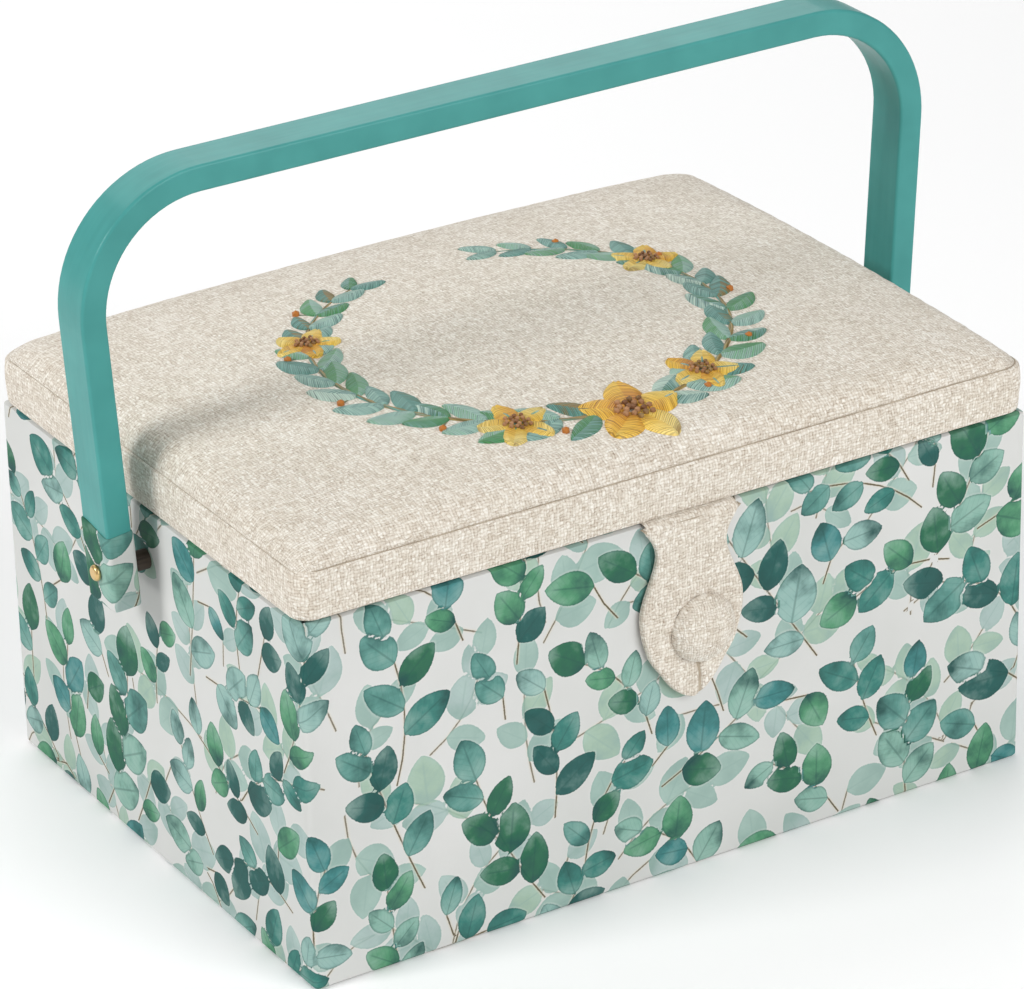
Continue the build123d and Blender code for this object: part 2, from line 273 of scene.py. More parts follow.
def weave(tree, across, along, pitch):
    """Height from 0 to 1, and a random tone, of a plain weave whose threads lie a pitch apart."""
    drift_u = noise(tree, joined(tree, across * 0.05, along * 0.05), 1.0, 2.0)
    drift_v = noise(tree, joined(tree, across * 0.05, along * 0.05, 9.0), 1.0, 2.0)
    waver_u = noise(tree, joined(tree, across * 0.45, along * 0.30, 4.0), 1.0, 1.0)
    waver_v = noise(tree, joined(tree, across * 0.30, along * 0.45, 6.0), 1.0, 1.0)
    u = across / pitch + drift_u * DRIFT + waver_u * WAVER
    v = along / pitch + drift_v * DRIFT + waver_v * WAVER
    warp = u.do("FLOOR")
    weft = v.do("FLOOR")
    warp_side = u.do("FRACT") * 2.0 - 1.0
    weft_side = v.do("FRACT") * 2.0 - 1.0
    warp_wave = ((v - warp - 0.5) * math.pi).do("COSINE") * 0.5 + 0.5
    weft_wave = ((u - weft - 0.5) * math.pi).do("COSINE") * -0.5 + 0.5
    warp_round = warp_side * warp_side * -THREAD_CROWN + 1.0
    weft_round = weft_side * weft_side * -THREAD_CROWN + 1.0
    warp_height = warp_round * (warp_wave * THREAD_DIP + (1.0 - THREAD_DIP))
    weft_height = weft_round * (weft_wave * THREAD_DIP + (1.0 - THREAD_DIP))
    height = warp_height.do("MAXIMUM", weft_height)
    warp_on_top = warp_height.do("GREATER_THAN", weft_height)
    slub_warp = noise(tree, joined(tree, warp * 7.3, v * 0.30), 1.0, 1.0)
    slub_weft = noise(tree, joined(tree, u * 0.30, weft * 5.9, 3.0), 1.0, 1.0)
    knot_warp = chance(tree, warp, ((v - warp) * 0.5).do("FLOOR") + 0.25)
    knot_weft = chance(tree, ((u - weft) * 0.5).do("FLOOR") + 0.75, weft)
    tone_warp = knot_warp * (1.0 - SLUB) + slub_warp * SLUB
    tone_weft = knot_weft * (1.0 - SLUB) + slub_weft * SLUB
    tone = tone_weft + (tone_warp - tone_weft) * warp_on_top
    return height, tone


LINEN_TONES = (
    (0.08, (0.200, 0.145, 0.100)),
    (0.28, (0.410, 0.335, 0.260)),
    (0.48, (0.620, 0.550, 0.465)),
    (0.72, (0.770, 0.720, 0.640)),
    (0.95, (0.920, 0.895, 0.840)),
)
LINEN_PITCH = 1.08


def linen_finish(name, pitch):
    """Linen for a piece that carries flat cloth coordinates, in millimetres."""
    finish, tree, shader = new_finish(name, 0.86, Specular_IOR_Level=0.25, Sheen_Weight=0.12)
    across, along, _ = stored(tree, "cloth")
    height, tone = weave(tree, across, along, pitch)
    fleck = noise(tree, joined(tree, across, along), 1.3, 3.0)
    # Painted light and shade: the weave's height makes the crowns of the threads lighter and the
    # pits between them darker.
    shade = height * 0.36 + tone * 0.48 + fleck * 0.74 - 0.245
    cloud = noise(tree, joined(tree, across, along), 0.05, 3.0)
    threads = colour_of(tree, shade, LINEN_TONES)
    warm = colour_of(tree, cloud, ((0.3, (0.95, 0.94, 0.92)), (0.7, (1.0, 1.0, 1.0))))
    paint(tree, shader, blend_colour(tree, 1.0, threads, warm, "MULTIPLY"))
    relief(tree, shader, height * 0.8 + fleck * 0.2, 0.00030, 1.0)
    return finish


linen = linen_finish("natural_linen", LINEN_PITCH)
print("linen threads per centimetre:", round(10 / LINEN_PITCH, 1))

# %% [markdown]
# ## The printed cotton
#
# The print is made flat, as at the mill. Sprigs of pointed leaves are scattered over it, in teal,
# green and blue-grey, with a paler set behind. They are tossed in one at a time, and a leaf that
# would touch another sprig is left off, so the cloth fills evenly and no leaf is lost under the
# next. Each vertex of the cloth stores how far it is from the edge of the leaf it lies in, where
# it is along and across that leaf, and the leaf's own tone. The material then cuts the leaf out
# sharply, however coarse the mesh is, and paints a wash, a darker rim where the water dried, a
# midrib and fine side ribs.

# %% One sprig
SPRIG_STEP = 7.4
SPRIG_BEND = 0.9
LEAF_TURN = (0.55, 1.05)
LEAF_LENGTH = (12.5, 17.5)
LEAF_RATIO = (0.58, 0.82)
TONE_SPREAD = 0.20
EDGE_SLANT = 0.85


def leaf_half(share, width):
    """Half the width of a pointed leaf at a share of its length."""
    return width / 2 * np.sin(math.pi * share ** 0.84) ** 0.66


def leaf_edge(s, t, length, width):
    """Signed distance of points (s along, t across) from a pointed leaf, below zero inside it."""
    half = leaf_half(np.clip(s / length, 0.001, 0.999), width)
    beyond = np.maximum(np.maximum(-s, s - length), 0)
    aside = np.abs(t) - half
    return np.hypot(np.maximum(aside, 0), beyond) + np.minimum(aside, 0) * EDGE_SLANT


def sprig(rng, x, y, heading, size, count):
    """One sprig: the points of its stem, and leaves as (x, y, heading, length, width, tone)."""
    bend = rng.uniform(-SPRIG_BEND, SPRIG_BEND)
    family = rng.random()
    side = 1 if rng.random() < 0.5 else -1
    stem, leaves = [(x, y)], []
    for step in range(count + 1):
        heading += bend / count
        x += math.cos(heading) * SPRIG_STEP * size
        y += math.sin(heading) * SPRIG_STEP * size
        stem.append((x, y))
        side = -side
        turn = heading + side * rng.uniform(*LEAF_TURN) * (step < count)
        length = size * rng.uniform(*LEAF_LENGTH)
        tone = (family + rng.uniform(-TONE_SPREAD, TONE_SPREAD)) % 1.0
        leaves.append((x, y, turn, length, length * rng.uniform(*LEAF_RATIO), tone))
    return stem, leaves


print("leaves are", LEAF_LENGTH[0], "to", LEAF_LENGTH[1], "mm long before each sprig is scaled")

# %% Tossing the sprigs in
TOSS_MARGIN = 20
EARLY = 0.35
LATE = 0.8


def covered(x, y, heading, length, width, grow):
    """Whole-millimetre points that a leaf covers, with a margin round it."""
    share, across = np.meshgrid(np.linspace(0.0, 1.0, 20), np.linspace(-1.0, 1.0, 15))
    s = share * (length + 2 * grow) - grow
    t = across * (leaf_half(np.clip(share, 0.02, 0.98), width) + grow)
    u = x + s * math.cos(heading) - t * math.sin(heading)
    v = y + s * math.sin(heading) + t * math.cos(heading)
    return np.round(u).astype(int).ravel(), np.round(v).astype(int).ravel()


def toss_sprigs(seed, tries, period, height, sizes, spread, gap):
    """Sprigs thrown over a cloth one by one, less the leaves that would touch an earlier sprig.

    A sprig ends where it misses two leaves in a row, and long sprigs come first."""
    rng = np.random.default_rng(seed)
    taken = np.zeros((round(period), round(height) + 2 * TOSS_MARGIN), bool)
    sprigs = []
    for turn in range(tries):
        when = turn / tries
        size = rng.uniform(*sizes)
        count = int(rng.integers(4, 8)) if when < EARLY else int(rng.integers(1, 4))
        heading = math.radians(90 + rng.normal(0, spread))
        start = (rng.uniform(0, period), rng.uniform(-15, height))
        stem, leaves = sprig(rng, *start, heading, size, count)
        kept, last, missed = [], 0, 0
        for step, leaf in enumerate(leaves):
            u, v = covered(*leaf[:5], gap)
            inside = (v > -TOSS_MARGIN) & (v < height + TOSS_MARGIN - 1)
            if inside.all() and not taken[u % len(taken), v + TOSS_MARGIN].any():
                kept.append(leaf)
                last, missed = step + 1, 0
            else:
                missed += 1
            if missed == 2:
                break
        if len(kept) >= (4 if when < EARLY else 2 if when < LATE else 1):
            for leaf in kept:
                u, v = covered(*leaf[:5], 0.0)
                taken[u % len(taken), v + TOSS_MARGIN] = True
            sprigs.append((stem[:last + 1], kept))
    return sprigs


# %% Pressing the sprigs on a cloth
AWAY = 9.0
LEAF_GAP = 0.42
STEM_GAP = 1.0


def seen_from(u, v, x, y, heading, reach, period):
    """The points within reach of a place: which they are, and how far ahead and aside they lie."""
    du = (u - x + period / 2) % period - period / 2
    near = np.nonzero((np.abs(du) < reach) & (np.abs(v - y) < reach))[0]
    cos, sin = math.cos(heading), math.sin(heading)
    s = du[near] * cos + (v[near] - y) * sin
    t = -du[near] * sin + (v[near] - y) * cos
    return near, s, t


def press(u, v, sprigs, period):
    """What the mill presses at each point: two vectors, one for the leaf and one for its ink.

    Two leaves that meet keep a thin line of bare cloth between them, and so do two stems."""
    leaf, ink = np.zeros((2, len(u), 3))
    leaf[:, 0], ink[:, 1:] = AWAY, AWAY
    next_leaf, next_stem = np.full((2, len(u)), AWAY)
    for stem, leaves in sprigs:
        side, away = np.full((2, len(u)), AWAY)
        for (x0, y0), (x1, y1) in zip(stem, stem[1:]):
            long = math.hypot(x1 - x0, y1 - y0)
            near, s, t = seen_from(u, v, x0, y0, math.atan2(y1 - y0, x1 - x0), long + 4, period)
            reach = np.hypot(s - np.clip(s, 0, long), t)
            closer = reach < away[near]
            side[near[closer]], away[near[closer]] = t[closer], reach[closer]
        closer = away < ink[:, 2]
        next_stem = np.minimum(next_stem, np.where(closer, ink[:, 2], away))
        ink[closer, 1], ink[closer, 2] = side[closer], away[closer]
        for x, y, heading, length, width, tone in leaves:
            near, s, t = seen_from(u, v, x, y, heading, length + 3, period)
            edge = leaf_edge(s, t, length, width)
            over = edge < leaf[near, 0]
            next_leaf[near] = np.minimum(next_leaf[near], np.where(over, leaf[near, 0], edge))
            spot = near[over]
            leaf[spot] = np.stack([edge[over], s[over] / length, t[over] / width], 1)
            ink[spot, 0] = tone
    leaf[:, 0] = np.maximum(leaf[:, 0], (leaf[:, 0] - next_leaf) / 2 + LEAF_GAP)
    ink[next_stem < STEM_GAP, 2] = AWAY
    return leaf, ink


# %% The two screens of the print
def rounded_path(stops, radius):
    """The length of a path that turns only on arcs of one radius, and a call that follows it.

    Each stop is the centre that the path keeps a radius away from, and the way it faces there."""
    stops = np.array(stops, float)
    straight = np.hypot(*np.diff(stops[:, :2], axis=0).T)
    turned = radius * np.radians(np.abs(np.diff(stops[:, 2])))
    breaks = np.concatenate([[0.0], np.cumsum(straight + turned)])

    def at(s, inset=0.0):
        x, y, facing = (np.interp(s, breaks, column) for column in stops.T)
        facing = np.radians(facing)
        return x + (radius - inset) * np.cos(facing), y + (radius - inset) * np.sin(facing)

    return breaks[-1], at


def round_plan(half_x, half_y, radius):
    """The way round a box with rounded corners, from the left end of its back, left side first."""
    x, y = half_x - radius, half_y - radius
    stops = (
        (-x, y, 90), (-x, y, 180), (-x, -y, 180), (-x, -y, 270), (x, -y, 270),
        (x, -y, 360), (x, y, 360), (x, y, 450), (-x, y, 450),
    )
    return rounded_path(stops, radius)


girth, body_plan = round_plan(body_high.x, body_high.y, BODY_CORNER)
PRINT_HEIGHT = 132.0
front_screen = toss_sprigs(
    seed=11, tries=9000, period=girth, height=PRINT_HEIGHT, sizes=(0.88, 1.16), spread=34, gap=0.9
)
back_screen = toss_sprigs(
    seed=29, tries=1200, period=girth, height=PRINT_HEIGHT, sizes=(0.85, 1.10), spread=50, gap=1.2
)
leaf_count = sum(len(leaves) for _, leaves in front_screen)
print("round the box:", round(girth, 1), "mm, sprigs:", len(front_screen), "leaves:", leaf_count)


def store(mesh, name, values):
    """Keeps three numbers for each vertex under a name."""
    layer = mesh.attributes.get(name) or mesh.attributes.new(name, "FLOAT_VECTOR", "POINT")
    layer.data.foreach_set("vector", np.ascontiguousarray(values, np.float32).ravel())


def print_on(mesh, u, v):
    """Stores both screens of the print on a flat cloth."""
    for name, screen in (("front", front_screen), ("back", back_screen)):
        leaf, ink = press(u, v, screen, girth)
        for kind, values in (("leaf", leaf), ("ink", ink)):
            store(mesh, f"{name}_{kind}", values)


# %% The print's finish
INKS = (
    (0.00, (0.010, 0.095, 0.085)),
    (0.13, (0.035, 0.195, 0.165)),
    (0.27, (0.095, 0.270, 0.235)),
    (0.40, (0.014, 0.130, 0.062)),
    (0.52, (0.215, 0.400, 0.330)),
    (0.64, (0.045, 0.215, 0.215)),
    (0.76, (0.075, 0.270, 0.140)),
    (0.88, (0.250, 0.420, 0.385)),
)
PALE_INKS = (
    (0.00, (0.250, 0.400, 0.350)),
    (0.35, (0.310, 0.430, 0.410)),
    (0.70, (0.290, 0.440, 0.330)),
)
GROUND = (0.575, 0.582, 0.562)
STEM = (0.120, 0.095, 0.050)
STEM_HALO = (0.640, 0.580, 0.460)
LEAF_HALO = (0.720, 0.730, 0.700)
WASHED_OUT = (0.420, 0.580, 0.520)
PALE_SHADOW = (0.200, 0.340, 0.300)
DEEP_SHADOW = (0.006, 0.065, 0.058)


def ink_layer(tree, under, screen, inks, shadow, strength):
    """Lays one screen of the print over the colours under it, with a shadow where its ink pools."""
    edge, along, across = stored(tree, f"{screen}_leaf")
    tone, line, near = stored(tree, f"{screen}_ink")
    spot = place(tree)
    wash = noise(tree, spot, 150.0, 3.0)
    grain = noise(tree, spot, 1900.0, 1.0)
    stem_side = line.do("ABSOLUTE")
    on_stem = near.ramp(1.0, 0.75) * strength
    under = blend_colour(tree, stem_side.ramp(1.0, 0.3) * on_stem * 0.5, under, STEM_HALO)
    stem = (stem_side - grain * 0.24 - 0.14).ramp(0.10, -0.08)
    under = blend_colour(tree, stem * on_stem, under, STEM)
    under = blend_colour(tree, edge.ramp(0.9, 0.1) * strength * 0.2, under, LEAF_HALO)
    body = colour_of(tree, tone, inks, stepped=True)
    light = (wash - 0.5) * 2.2 + (along - 0.5) * (tone * 17.0).do("SINE") * 1.3
    pale = blend_colour(tree, (light * 0.50).do("ADD", 0.0, clamp=True), body, WASHED_OUT)
    deep = blend_colour(tree, (light * -1.2).do("ADD", 0.06, clamp=True), pale, shadow)
    rib = across.do("ABSOLUTE").ramp(0.040, 0.012) * along.ramp(0.92, 0.75) * 0.38
    ribs = (along * 7.0 - across.do("ABSOLUTE") * 4.5).do("FRACT") - 0.5
    side_rib = ribs.do("ABSOLUTE").ramp(0.10, 0.03) * 0.13
    veined = blend_colour(tree, rib.do("MAXIMUM", side_rib), deep, shadow)
    rim = edge.ramp(-0.85, -0.10) * 0.42
    rimmed = blend_colour(tree, rim, veined, shadow)
    ragged = edge + (grain - 0.5) * 0.35
    return blend_colour(tree, ragged.ramp(0.10, -0.14) * strength, under, rimmed)


def printed_finish():
    """Cotton with the sprig print, dull and fine in the weave."""
    finish, tree, shader = new_finish("sprig_printed_cotton", 0.72, Specular_IOR_Level=0.3)
    cloud = noise(tree, place(tree), 18.0, 3.0)
    ground = colour_of(tree, cloud, ((0.3, GROUND), (0.75, (0.645, 0.645, 0.630))))
    pale = ink_layer(tree, ground, "back", PALE_INKS, PALE_SHADOW, 0.85)
    paint(tree, shader, ink_layer(tree, pale, "front", INKS, DEEP_SHADOW, 0.98))
    across, along, _ = stored(tree, "cloth")
    height, _ = weave(tree, across, along, 0.42)
    relief(tree, shader, height, 0.00006, 0.6)
    return finish


printed = printed_finish()
print("inks:", len(INKS), "front,", len(PALE_INKS), "behind")

# %% [markdown]
# ## Cutting and folding cloth
#
# A cloth starts as a flat grid, one unit to the millimetre, as it lies on the cutting table. Its
# flat coordinates are stored before it is folded, because the weave and the print follow them.
# Then every vertex is carried to its place on the box, seams are welded and open ends closed.
# `finish_piece` does what all pieces need at the end.

# %% Cloth helpers
def new_mesh(name, bm):
    """A mesh made from a bmesh, which is freed."""
    mesh = bpy.data.meshes.new(name)
    bm.to_mesh(mesh)
    bm.free()
    return mesh


def flat_cloth(name, width, height, columns, rows):
    """A flat grid of cloth from (0, 0) to (width, height) millimetres, its coordinates stored."""
    bm = bmesh.new()
    bmesh.ops.create_grid(bm, x_segments=columns, y_segments=rows, size=0.5)
    bmesh.ops.translate(bm, vec=(0.5, 0.5, 0.0), verts=bm.verts)
    bmesh.ops.scale(bm, vec=(width, height, 1.0), verts=bm.verts)
    mesh = new_mesh(name, bm)
    points = np.empty(len(mesh.vertices) * 3, np.float32)
    mesh.vertices.foreach_get("co", points)
    points = points.reshape(-1, 3).astype(float)
    store(mesh, "cloth", points)
    return mesh, points[:, 0], points[:, 1]


def move_points(mesh, x, y, z):
    """Carries the vertices of a mesh to new places."""
    points = np.stack([x, y, z], 1).astype(np.float32)
    mesh.vertices.foreach_set("co", points.ravel())
    mesh.update()


def new_object(name, mesh, finish, sharp):
    """A smooth object in metres, made from a mesh in millimetres."""
    mesh.transform(Matrix.Scale(MM, 4))
    mesh.name = name
    mesh.materials.clear()
    mesh.materials.append(finish)
    mesh.shade_smooth()
    mesh.set_sharp_from_angle(angle=math.radians(sharp))
    piece = bpy.data.objects.new(name, mesh)
    scene.collection.objects.link(piece)
    return piece


def finish_piece(name, mesh, body, finish, replaced=(), sharp=35):
    """Turns a mesh in millimetres into a finished piece in metres, on its body."""
    piece = new_object(name, mesh, finish, sharp)
    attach(piece, body)
    if replaced:
        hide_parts(*replaced)
    print(f"{name}: {len(mesh.polygons)} faces on {body}")
    return piece


def reworked(mesh, work):
    """Lets a step work on a mesh, then turns its faces outwards."""
    bm = bmesh.new()
    bm.from_mesh(mesh)
    work(bm)
    bmesh.ops.recalc_face_normals(bm, faces=bm.faces)
    bm.to_mesh(mesh)
    bm.free()
    return mesh


def welded(bm, reach=0.01):
    """Welds the vertices that a fold brings together, and finds the edges still open."""
    bmesh.ops.remove_doubles(bm, verts=bm.verts, dist=reach)
    return [edge for edge in bm.edges if edge.is_boundary]


def close_tube(bm):
    """Welds the seam of a folded wrap and closes its inside with one ring of faces."""
    bmesh.ops.bridge_loops(bm, edges=welded(bm))


def close_ends(bm, reach=0.01):
    """Welds a tube's seam and closes its ends."""
    bmesh.ops.holes_fill(bm, edges=welded(bm, reach), sides=0)


print("cloth helpers ready")

# %% The printed wrap round the walls
def hem(low, high, turn_under, turn_over, fold):
    """The way of a cloth under a lower edge, up a side and over an upper edge, and its length."""
    low, high = low + fold, high - fold
    stops = (
        (-turn_under, low, -90), (-fold, low, -90), (-fold, low, 0),
        (-fold, high, 0), (-fold, high, 90), (-turn_over, high, 90),
    )
    return rounded_path(stops, fold)


def wrap(name, low, high, plan, girth, turn_under, turn_over, fold, grid):
    """A cloth cut flat for the side of a box, and the places its points are folded to."""
    height, profile = hem(low.z, high.z, turn_under, turn_over, fold)
    mesh, u, v = flat_cloth(name, girth, height, *grid)
    out, z = profile(v)
    x, y = plan(u, -out)
    print(f"{name} is cut {girth:.0f} by {height:.0f} mm")
    return mesh, u, v, (x, y, z)


body_wrap, u, v, folded = wrap(
    "printed_wrap", body_low, body_high, body_plan, girth,
    turn_under=3.0, turn_over=3.4, fold=0.9, grid=(780, 112),
)
print_on(body_wrap, u, v)
move_points(body_wrap, *folded)
reworked(body_wrap, close_tube)
finish_piece("printed_wrap", body_wrap, "box", printed, ("printed_cover",))

# %% [markdown]
# ## The lid's linen band and crowned top
#
# The band is wrapped like the printed cloth, and swells a little over the wadding behind it. The
# top is a grid as fine as the padding's curve needs. Near its edge the grid follows the lid's
# rounded corners. Its height rises fast over the edge of the wadding, less at the corners, where
# the linen is pulled tightest, and slowly over the crown, so it looks stuffed and not like a plate.

# %% The linen band
BAND_SHOULDER = 0.9
BAND_SWELL = 0.6
band_girth, band_plan = round_plan(band_high.x, band_high.y, LID_CORNER)
band, u, v, (x, y, z) = wrap(
    "linen_band", band_low, band_high, band_plan, band_girth,
    turn_under=3.0, turn_over=4.5, fold=BAND_SHOULDER, grid=(560, 24),
)
up = np.clip((z - band_low.z) / (band_high.z - band_low.z), 0, 1)
swell = BAND_SWELL * np.sin(math.pi * up ** 1.4)
on_side = (np.abs(x) > band_high.x - 4) | (np.abs(y) > band_high.y - 4)
swollen = 1 + on_side * swell / np.hypot(x, y)
move_points(band, x * swollen, y * swollen, z)
reworked(band, close_tube)
finish_piece("linen_band", band, "lid", linen, ("lid_band_cover",))

# %% The crown's profile
CROWN_RISE = 7.5
CROWN_REACH = 2.8
CROWN_DOME = 7.3
CORNER_PULL = 0.5
CORNER_REACH = 36
CROWN_GROWTH = 0.5
CROWN_TUCK = 0.2
CROWN_HEM = 2.6
CROWN_INSET = 0.8
CROWN_SHIFT = -0.4
crown_half = (band_high.x - CROWN_INSET, band_high.y - CROWN_INSET)


def crown_rise(inset, x, y):
    """How far the cushion stands over the crease, at a distance in from its edge.

    The wadding fills out behind the edge, thins towards the corners and domes in the middle."""
    from_corner = crown_half[0] - np.abs(x) + crown_half[1] - np.abs(y)
    edge = 1 - np.exp(-inset / CROWN_REACH)
    edge = edge * (1 - CORNER_PULL * np.exp(-from_corner / CORNER_REACH))
    dome = (1 - (x / crown_half[0]) ** 2) * (1 - (y / crown_half[1]) ** 2)
    return CROWN_RISE * edge + CROWN_DOME * dome


def crown_profile():
    """Insets and rises of the cloth from its hidden edge to the middle, against its own length."""
    tuck = [(CROWN_HEM, -CROWN_TUCK)]
    for angle in range(-90, -181, -15):
        turn = math.radians(angle)
        tuck.append((CROWN_TUCK * (1 + math.cos(turn)), CROWN_TUCK * math.sin(turn)))
    over = []
    for inset in np.geomspace(0.05, crown_half[1], 60):
        over.append((inset, float(crown_rise(inset, 0.0, crown_half[1] - inset))))
    inset, rise = np.array(tuck + over).T
    length = np.concatenate([[0.0], np.cumsum(np.hypot(np.diff(inset), np.diff(rise)))])
    return length, inset, rise, length[len(tuck) - 1]


crown_length, crown_inset, crown_lift, tuck_length = crown_profile()
crown_spare = crown_length[-1] - crown_inset[-1]
print("the crown's cloth is cut", round(crown_spare, 1), "mm larger all round than the lid shows")


# %% Stretching the linen over the crown
def soft_waves(x, y, seed, size):
    """Gentle unevenness from -1 to 1, as wadding has, waves of a size in millimetres."""
    rng = np.random.default_rng(seed)
    total = np.zeros(len(x))
    for _ in range(9):
        turn, phase = rng.uniform(0, 2 * math.pi, 2)
        long = size * rng.uniform(0.7, 1.8)
        total += np.sin((x * math.cos(turn) + y * math.sin(turn)) * 2 * math.pi / long + phase)
    return total / 5


def round_off(x, y, half_x, half_y, radius):
    """Carries points of a rectangle's outline to one with rounded corners, with its normals."""
    along_x = np.abs(x) - (half_x - radius)
    along_y = np.abs(y) - (half_y - radius)
    corner = (along_x > 0) & (along_y > 0)
    on_side = np.abs(y) >= half_y * (1 - 1e-6)
    share = np.where(on_side, along_x, 2 * radius - along_y) / (2 * radius)
    turn = np.clip(share, 0, 1) * math.pi / 2
    normal_x = np.where(corner, np.sin(turn), np.where(on_side, 0.0, 1.0)) * np.sign(x)
    normal_y = np.where(corner, np.cos(turn), np.where(on_side, 1.0, 0.0)) * np.sign(y)
    round_x = np.sign(x) * (half_x - radius) + radius * normal_x
    round_y = np.sign(y) * (half_y - radius) + radius * normal_y
    return np.where(corner, round_x, x), np.where(corner, round_y, y), normal_x, normal_y


EDGE_PULL = 0.16
PULL_REACH = 7
PULL_WAVES = (7.3, 11.9)


def stretch_crown():
    """The linen top, stretched over the wadding and tucked into the crease, closed underneath."""
    flat_x, flat_y = crown_half[0] + crown_spare, crown_half[1] + crown_spare
    mesh, u, v = flat_cloth("linen_crown", 2 * flat_x, 2 * flat_y, 236, 172)
    u, v = u - flat_x, v - flat_y
    depth = np.minimum(flat_x - np.abs(u), flat_y - np.abs(v))
    inset = np.interp(depth, crown_length, crown_inset)
    lift = np.interp(depth, crown_length, crown_lift)
    half_x, half_y = crown_half[0] - inset, np.maximum(crown_half[1] - inset, 0.01)
    ring_x = u * half_x / np.maximum(flat_x - depth, 0.01)
    ring_y = v * half_y / np.maximum(flat_y - depth, 0.01)
    radius = np.minimum(LID_CORNER - CROWN_INSET + CROWN_GROWTH * inset, 0.9 * half_y)
    x, y, normal_x, normal_y = round_off(ring_x, ring_y, half_x, half_y, radius)
    spare = crown_spare - (depth - inset)
    store(mesh, "cloth", np.stack([x + normal_x * spare, y + normal_y * spare, 0 * x], 1))
    settled = np.clip((inset - 1) / 12, 0, 1)
    lift = np.where(depth > tuck_length, crown_rise(inset, x, y), lift)
    uneven = 0.30 * soft_waves(x, y, seed=5, size=60) + 0.10 * soft_waves(x, y, seed=6, size=19)
    z = crown_low.z + lift + settled * uneven
    pull = np.clip(1 - inset / PULL_REACH, 0, 1) * np.clip(lift / 2, 0, 1) * EDGE_PULL
    ripple = np.sin((x + y) * 2 * math.pi / PULL_WAVES[0])
    ripple = ripple + np.sin((x - y) * 2 * math.pi / PULL_WAVES[1])
    move_points(mesh, x + normal_x * pull * ripple + CROWN_SHIFT, y + normal_y * pull * ripple, z)
    return reworked(mesh, close_under)


def close_under(bm):
    """One flat face over the open edge of the cloth, hidden in the lid."""
    bmesh.ops.contextual_create(bm, geom=[edge for edge in bm.edges if edge.is_boundary])


crown = finish_piece(
    "linen_crown", stretch_crown(), "lid", linen, ("lid_cover", "lid_padding"), sharp=60
)

# %% [markdown]
# ## The embroidery
#
# Satin stitch is thread laid side by side until it stands above the cloth. Each leaf, petal and
# stem is a shape of its own, crowned a little, and stores how far along and across it each vertex
# lies, so that its threads can follow it. The wreath is a plain garland: two mirrored sprays of
# slim leaves, with small five-petalled flowers and berries. A ray dropped on the crown finds how
# high the cloth is under each stitch.

# %% Satin stitches
lid_skin = BVHTree.FromPolygons(
    [vertex.co / MM for vertex in crown.data.vertices],
    [tuple(face.vertices) for face in crown.data.polygons],
)


def cloth_height(x, y):
    """Height of the linen crown over a point, in millimetres."""
    return lid_skin.ray_cast(Vector((x, y, 200.0)), Vector((0, 0, -1)))[0].z


print("the middle of the crown stands at", round(cloth_height(0.0, 0.0), 1), "mm")
LEAF_GRID = (10, 22)
PETAL_GRID = (12, 26)
STEM_GRID = (6, 90)
STALK_GRID = (6, 10)
FURROW = 0.45
UNDERSIDE = 0.5
CLOTH_LIFT = 0.05


def satin(bm, layer, spine, half_width, height, tone, grid=LEAF_GRID, jag=0.10):
    """One satin-stitched shape. The spine gives x, y and heading at a share of its length.

    The stitches meet in a furrow along the middle, and end in small steps at the edges."""
    around, along = grid
    made = bmesh.ops.create_grid(bm, x_segments=around, y_segments=along, size=0.5)["verts"]
    for vertex in made:
        turn = (vertex.co.x + 0.5) * 2 * math.pi
        share = vertex.co.y + 0.5
        x, y, heading = spine(share)
        width = half_width(share)
        taper = min(1.0, width / 0.8)
        stitch = jag * taper * (round(share * along) % 2)
        across = math.cos(turn) * (width + stitch)
        up = math.sin(turn)
        furrow = 1 - FURROW * math.exp(-((across / 0.4) ** 2))
        lift = height * up * furrow if up > 0 else UNDERSIDE * up
        x -= math.sin(heading) * across
        y += math.cos(heading) * across
        vertex.co = (x, y, cloth_height(x, y) + lift * taper + CLOTH_LIFT)
        vertex[layer] = (share, across, tone)


def leaf_spine(x, y, heading, length, bend=0.0):
    """A straight or slightly bent spine that starts at a point."""
    def at(share):
        turn = heading + bend * share
        ahead = length * share
        return x + math.cos(turn) * ahead, y + math.sin(turn) * ahead, turn + bend * share
    return at


def leaf_width(width, fullness=0.75):
    """Half widths of a leaf or petal pointed at both ends."""
    def at(share):
        return width / 2 * math.sin(math.pi * min(max(share, 0.0), 1.0) ** 0.85) ** fullness
    return at


def oval_spine(start, end, off=0.0):
    """A spine that runs along the garland's oval between two angles."""
    def at(share):
        turn = start + (end - start) * share
        cos, sin = math.cos(turn), math.sin(turn)
        x = GARLAND_CENTRE[0] + (GARLAND_REACH[0] + off) * cos
        y = GARLAND_CENTRE[1] + (GARLAND_REACH[1] + off) * sin
        ahead = math.copysign(1.0, end - start)
        return x, y, math.atan2(ahead * GARLAND_REACH[1] * cos, -ahead * GARLAND_REACH[0] * sin)
    return at


# %% The garland
GARLAND_CENTRE = (-1.0, -8.0)
GARLAND_REACH = (67.0, 63.0)
SPRAY_STEPS = 16
SPRAY_ANGLE = math.radians(160)
STEM_TONE = 0.02
BERRY_TONE = 0.12
BERRY_RADIUS = 1.35
rng = np.random.default_rng(7)
leaves = bmesh.new()
leaf_layer = leaves.verts.layers.float_vector.new("stitch")
blooms = bmesh.new()
bloom_layer = blooms.verts.layers.float_vector.new("stitch")


def knot(x, y, radius, lift, tone):
    """A small round knot of thread."""
    made = bmesh.ops.create_icosphere(blooms, subdivisions=1, radius=radius)["verts"]
    bmesh.ops.translate(blooms, vec=(x, y, cloth_height(x, y) + lift), verts=made)
    for vertex in made:
        vertex[bloom_layer] = (0.5, 0.0, tone)


def stem_width(share):
    """Half widths of a stem that thins towards its tip."""
    return 0.75 * (1 - share**4) ** 0.5 + 0.01


